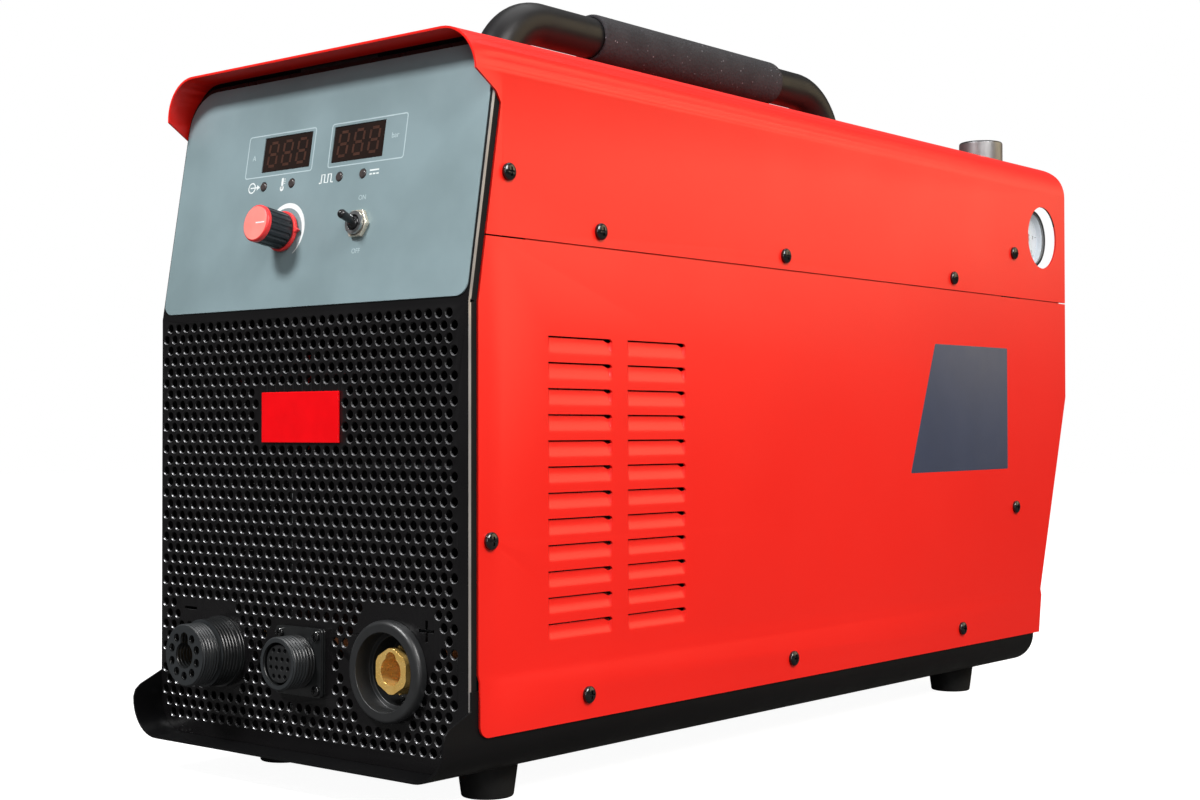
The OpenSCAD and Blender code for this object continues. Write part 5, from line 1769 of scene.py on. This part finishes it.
@dataclass
class Fasteners(Assembly):
    """Every screw and bolt, set on its places."""

    shell_spots: tuple[Point3, ...] = (
        (26.4, 311.9, 0.0), (96.3, 288.5, 0.0), (266.4, 288.5, 0.0), (469.1, 288.5, 0.0), (557.0, 311.9, 0.0),
        (13.7, 133.0, 0.0), (558.0, 131.0, 0.0), (84.8, 51.7, 1.3), (271.5, 51.7, 1.3), (476.4, 51.7, 1.3),
    )
    pilot_offset: float = 14.0
    fan_offset: float = 52.5
    fan_spots: tuple[Point2, ...] = ((30.0, 100.0), (30.0, 228.0))
    foot_spots: tuple[Point2, ...] = ((79.0, 55.0), (79.0, 537.0))
    foot_head_z: float = 10.0
    flange_rise: float = 3.0
    rim_share: float = 0.42
    recess: Point2 = (0.52, 0.13)
    recess_floor: float = 0.35

    def head(self, kind: ScrewSet) -> bpy.types.Object:
        """Makes one screw with a cross recess, standing on the origin along Z.

        Args:
            kind: Its kind.

        Returns:
            The screw.
        """
        r, h, shank = kind.head_d / 2, kind.head_h, kind.shank_d / 2
        rim, dome_share = self.rim_share, 1.0 - self.rim_share
        profile = [(0.0, h)]
        for degrees in (18, 34, 50, 66, 80, 90):
            angle = math.radians(degrees)
            profile.append((r * math.sin(angle), h * (rim + dome_share * math.cos(angle))))
        profile += [(r * 0.97, 0.0), (shank, 0.0), (shank, -kind.shank_l), (0.0, -kind.shank_l)]
        screw = Shape(UPWARD).turned(profile, sides=28).build("screw_blank")
        cross = cross_outline(r * self.recess[0], r * self.recess[1])
        tool = Shape(UPWARD).prism(cross, h * self.recess_floor, h * 1.5).build("recess_tool")
        rule = screw.modifiers.new("recess", "BOOLEAN")
        rule.operation = "DIFFERENCE"
        rule.object = tool
        rule.solver = "EXACT"
        baked(screw)
        discard(tool)
        return screw

    def kinds(self) -> list[ScrewSet]:
        """Lists the kinds of screws with their places.

        Returns:
            One set for each kind.
        """
        shell = []
        for depth, height, rise in self.shell_spots:
            shell += [(RIGHT, (depth, height, rise)), (LEFT, (-depth, height, rise))]
        corners = [(a, b) for a in (-1, 1) for b in (-1, 1)]
        inset, step = self.pilot_offset, self.fan_offset
        panel = [(GRILLE, (a * inset, SOCKET_Z + b * inset, self.flange_rise)) for a, b in corners]
        panel += [(REAR, (x + a * step, z + b * step, 0.0)) for x, z in self.fan_spots for a, b in corners]
        feet = [
            (DOWNWARD, (side * x, -(depth + FRONT_Y), -self.foot_head_z))
            for x, depth in self.foot_spots
            for side in (-1, 1)
        ]
        return [
            ScrewSet("shell_screws", "black_screw", BLACK_SCREW, 8.8, 2.8, 4.0, 9.0, tuple(shell)),
            ScrewSet("panel_screws", "black_screw", BLACK_SCREW, 5.6, 2.0, 3.0, 7.0, tuple(panel)),
            ScrewSet("foot_screws", "zinc_steel", ZINC_STEEL, 9.6, 3.2, 5.0, 15.0, tuple(feet)),
        ]

    def build(self) -> None:
        """Sets the screws and softens the handle's bolts."""
        for kind in self.kinds():
            blank = self.head(kind)
            marks = marked_points(kind.node + "_look", kind.spots)
            copies_program().run(marks, Part=blank, Size=1.0, Finish=kind.finish.material())
            discard(blank)
            smooth(marks, 40.0)
            self.put(marks, kind.finish, kind.slot, kind.node)
        self.soft("handle_bolts", ZINC_STEEL, "zinc_steel", 0.3)


@dataclass
class Handle(Assembly):
    """The bent tube with its foam grip and the rail under the cover."""

    axis_z: float = 428.0
    grip: tuple[float, float] = (229.5, 421.5)
    grip_radius: float = 15.0
    tube_radius: float = 12.5
    edge: float = 2.2

    def build(self) -> None:
        """Makes the handle."""
        self.soft("carry_handle", TUBE_BLACK, "tube_black", 0.4)
        self.soft("handle_rail", DARK_STEEL, "zinc_steel", 0.25)
        start, end = self.grip
        length, r, bore = end - start, self.grip_radius, self.tube_radius + 0.05
        corners = [
            (bore, 0.0), (r - 0.5, 0.0), (r, 2.0), (r, length - 2.0), (r - 0.5, length), (bore, length),
        ]
        profile = eased(corners, self.edge, 5, closed=True)
        plane = Plane((0.0, start + FRONT_Y, self.axis_z), (-1.0, 0.0, 0.0), (0.0, 0.0, 1.0), (0.0, 1.0, 0.0))
        sleeve = Shape(plane).turned(profile, sides=72, wrap=True).build("foam_sleeve")
        self.put(sleeve, FOAM, "foam", "handle_grip")


@dataclass
class AirSupply(Assembly):
    """Regulator with its knob, gauge and bowl, the hoses and the solenoid valve."""

    gauge_y: float = 295.2
    gauge_z: float = 326.5
    dial_x: float = 106.4
    dial_radius: float = 19.0
    bezel_radius: float = 19.38
    bezel_depth: float = 3.9
    scale_start: float = 225.0
    scale_sweep: float = 270.0
    ticks: int = 50
    top_number: int = 10
    rim: Point2 = (0.25, 0.9)

    @property
    def face(self) -> Plane:
        """The dial's plane, seen from the cabinet's right."""
        middle = (self.dial_x, self.gauge_y, self.gauge_z)
        return Plane(middle, (0.0, 1.0, 0.0), (0.0, 0.0, 1.0), (1.0, 0.0, 0.0))

    def build(self) -> None:
        """Makes the air supply."""
        self.soft("regulator_body", CAST_ALUMINIUM, "cast_body", 1.0, segments=3)
        self.soft("regulator_bracket", ZINC_STEEL, "zinc_steel", 0.3)
        self.soft("adjust_spindle", ZINC_STEEL, "zinc_steel", 0.3, body="spindle")
        knob = self.soft("regulator_knob", KNOB_STEEL, "knob_metal", 0.7, body="lift_knob", segments=3)
        low, high = self.rim
        self.repainted(knob, RIM_DARK, lambda face: low < face.normal.z < high)
        self.soft("filter_bowl", BOWL_CLEAR, "bowl_clear", 0.4)
        self.soft("drain_valve", MOULDED_BLACK, "black_plastic", 0.3, body="drain")
        self.soft("gauge_case", MOULDED_BLACK, "black_plastic", 0.5)
        self.soft("gauge_dial", DIAL_WHITE, "dial_white", 0.1)
        self.soft("gauge_needle", NEEDLE_RED, "needle_red", 0.1, body="needle")
        self.soft("gauge_lens", GAUGE_GLASS, "gauge_glass", 0.3)
        self.soft("air_inlet", BRASS, "brass", 0.3)
        self.soft("solenoid_valve", BRASS, "brass", 0.4)
        self.soft("air_hose", HOSE_AMBER, "hose_rubber", 0.3)
        self.bezel()
        self.dial()

    def bezel(self) -> None:
        """Makes the pale ring that lines the case between dial and lens."""
        depth, r = self.bezel_depth, self.bezel_radius
        profile = [(r - 0.5, 0.02), (r, 0.02), (r, depth), (r - 0.5, depth)]
        ring = Shape(self.face).turned(profile, sides=72, wrap=True)
        self.put(ring.build("dial_bezel"), DIAL_WHITE, "dial_white")

    def dial(self) -> None:
        """Makes the ticks and plain numbers of the gauge."""
        low, high = 0.0, 0.05
        shape = Shape(self.face)
        outer, text_radius = self.dial_radius - 1.2, self.dial_radius - 6.6
        for k in range(self.ticks + 1):
            angle = math.radians(self.scale_start - self.scale_sweep * k / self.ticks)
            length, width = (4.0, 0.5) if k % 10 == 0 else (2.8 if k % 5 == 0 else 2.0, 0.25)
            inner = self.dial_radius - length
            way = (math.cos(angle), math.sin(angle))
            shape.ribbon(
                [(inner * way[0], inner * way[1]), (outer * way[0], outer * way[1])], width, low, high
            )
        pieces = [shape.build("dial_ticks")]
        for number in range(0, self.top_number + 1, 2):
            angle = math.radians(self.scale_start - self.scale_sweep * number / self.top_number)
            spot = self.face.shifted(text_radius * math.cos(angle), text_radius * math.sin(angle))
            pieces.append(lettering(f"dial_number_{number}", str(number), spot, 3.8, low, high))
        self.put(joined("dial_marks", pieces), DIAL_INK, "dial_white")


@dataclass
class RearFittings(Assembly):
    """Fans, breaker and cable gland."""

    def build(self) -> None:
        """Makes the rear fittings."""
        self.soft("fan_frames", MOULDED_BLACK, "black_plastic", 0.5)
        self.soft("upper_rotor", MOULDED_BLACK, "black_plastic", 0.2, body="upper_fan")
        self.soft("lower_rotor", MOULDED_BLACK, "black_plastic", 0.2, body="lower_fan")
        self.soft("breaker_body", MOULDED_BLACK, "black_plastic", 0.5)
        self.soft("breaker_lever", LEVER_BLACK, "lever_plastic", 0.5, body="breaker")
        self.soft("cable_gland", MOULDED_BLACK, "black_plastic", 0.4)


@dataclass
class PowerStage(Assembly):
    """The parts on the deck inside the cabinet."""

    def build(self) -> None:
        """Makes the power stage."""
        self.soft("inner_deck", ZINC_STEEL, "zinc_steel", 0.3)
        self.soft("heat_sink", HEAT_SINK, "cast_body", 0.3)
        self.soft("power_modules", MODULE_BLACK, "module_black", 0.6)
        self.soft("power_board", BOARD, "board", 0.3)
        self.soft("transformer_core", CORE_STEEL, "core_steel", 0.8)
        self.soft("transformer_coil", COPPER_TURNS, "winding", 0.8)
        self.soft("output_choke", COPPER_TURNS, "winding", 1.2)


@dataclass(frozen=True)
class Lamp:
    """A soft rectangular lamp that looks at a point."""

    name: str
    spot: Point3
    size: Point2
    power: float
    colour: Point3 = (1.0, 1.0, 1.0)
    aim: Point3 = (40.0, 0.0, 200.0)


@dataclass
class Studio:
    """Camera, floor, world and lamps."""

    camera_spot: Point3 = (711.0, -920.4, 186.4)
    yaw: float = 39.821
    pitch: float = 0.946
    roll: float = 0.076
    lens: float = 53.75
    floor_size: float = 12000.0
    floor_reach: Point2 = (500.0, 1500.0)
    floor_glow: Point2 = (0.95, 1.0)
    floor_unseen: str = "525252"
    ambient: float = 0.17
    mirror: float = 0.12
    lamps: tuple[Lamp, ...] = (
        Lamp("top", (0.0, 300.0, 2100.0), (1500.0, 1500.0), 14.0),
        Lamp("side", (1500.0, -350.0, 1300.0), (900.0, 900.0), 37.0, (1.0, 0.98, 0.96)),
        Lamp("front", (-300.0, -1450.0, 1500.0), (420.0, 320.0), 36.0),
        Lamp(
            "sheen", (1500.0, 1600.0, 1150.0), (1900.0, 1500.0), 14.0, (1.0, 0.82, 0.5), (120.0, 0.0, 300.0)
        ),
        Lamp("strip", (1450.0, -1750.0, 500.0), (300.0, 1500.0), 10.0),
    )

    def camera(self) -> None:
        """Makes the camera at the chosen viewpoint."""
        data = bpy.data.cameras.new("view")
        data.lens = self.lens
        data.sensor_width = 36.0
        data.clip_end = 60.0
        made = bpy.data.objects.new("view", data)
        made.location = Vector(self.camera_spot) * MM
        made.rotation_euler = (
            math.radians(90.0 + self.pitch), math.radians(self.roll), math.radians(self.yaw)
        )
        bpy.context.scene.collection.objects.link(made)
        bpy.context.scene.camera = made

    def floor(self) -> None:
        """Makes the pale floor, which looks white but keeps the shadow."""
        half = self.floor_size / 2
        corners = [(-half, -half), (half, -half), (half, half), (-half, half)]
        made = Shape(UPWARD).prism(corners, -20.0, 0.0).build("floor")
        graph = WORK_FLOOR.graph()
        seen = graph.node("ShaderNodeLightPath").outputs["Is Camera Ray"]
        away = graph.node("ShaderNodeVectorMath", {0: graph.place}, operation="LENGTH").outputs["Value"]
        near, far = (reach * MM for reach in self.floor_reach)
        glow = graph.remap(away, (near, far), self.floor_glow)
        strength = graph.node("ShaderNodeMath", {0: glow, 1: seen}, operation="MULTIPLY").outputs[0]
        base = graph.shader.inputs["Base Color"].links[0].from_socket
        graph.shade(Base_Color=graph.blend(seen, linear(self.floor_unseen), base))
        graph.shade(Emission_Color=(1.0, 1.0, 1.0, 1.0), Emission_Strength=strength)
        made.data.materials.append(graph.material)

    def world(self) -> None:
        """Makes a world that looks white and lights evenly."""
        world = bpy.data.worlds.new("studio")
        world.use_nodes = True
        tree = world.node_tree
        back = tree.nodes["Background"]
        back.inputs["Color"].default_value = (1.0, 1.0, 1.0, 1.0)
        path = tree.nodes.new("ShaderNodeLightPath")
        clear = tree.nodes.new("ShaderNodeMath")
        clear.operation = "MAXIMUM"
        tree.links.new(path.outputs["Is Camera Ray"], clear.inputs[0])
        tree.links.new(path.outputs["Is Transmission Ray"], clear.inputs[1])
        first = tree.nodes.new("ShaderNodeMix")
        first.inputs[2].default_value = self.ambient
        first.inputs[3].default_value = self.mirror
        tree.links.new(path.outputs["Is Glossy Ray"], first.inputs[0])
        second = tree.nodes.new("ShaderNodeMix")
        second.inputs[3].default_value = 1.0
        tree.links.new(clear.outputs[0], second.inputs[0])
        tree.links.new(first.outputs[0], second.inputs[2])
        tree.links.new(second.outputs[0], back.inputs["Strength"])
        bpy.context.scene.world = world

    def lights(self) -> None:
        """Makes the soft lamps."""
        for lamp in self.lamps:
            data = bpy.data.lights.new(lamp.name, "AREA")
            data.energy = lamp.power
            data.color = lamp.colour
            data.shape = "RECTANGLE"
            data.size, data.size_y = (side * MM for side in lamp.size)
            made = bpy.data.objects.new(lamp.name, data)
            made.location = Vector(lamp.spot) * MM
            way = Vector(lamp.aim) - Vector(lamp.spot)
            made.rotation_euler = way.to_track_quat("-Z", "Y").to_euler()
            bpy.context.scene.collection.objects.link(made)

    def build(self) -> None:
        """Makes the studio."""
        self.floor()
        self.world()
        self.lights()
        bpy.context.scene.view_settings.view_transform = "Standard"


def main() -> None:
    """Builds every assembly round the frame and reports its pieces."""
    logging.basicConfig(level=logging.INFO, format="%(name)s: %(message)s")
    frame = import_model()
    studio = Studio()
    studio.camera()
    groups = (
        Shell(), Grille(), ControlPanel(), Sockets(), Fasteners(), Handle(), AirSupply(), RearFittings(),
        PowerStage(),
    )
    for group in groups:
        group.build()
        LOG.info("%s: %d pieces", type(group).__name__, len(group.made))
    studio.build()
    looks = {piece.name.removesuffix("_look") for group in groups for piece in group.made}
    LOG.info("nodes without a look of the same name: %s", sorted(set(frame["nodes"]) - looks))


if __name__ == "__main__":
    main()
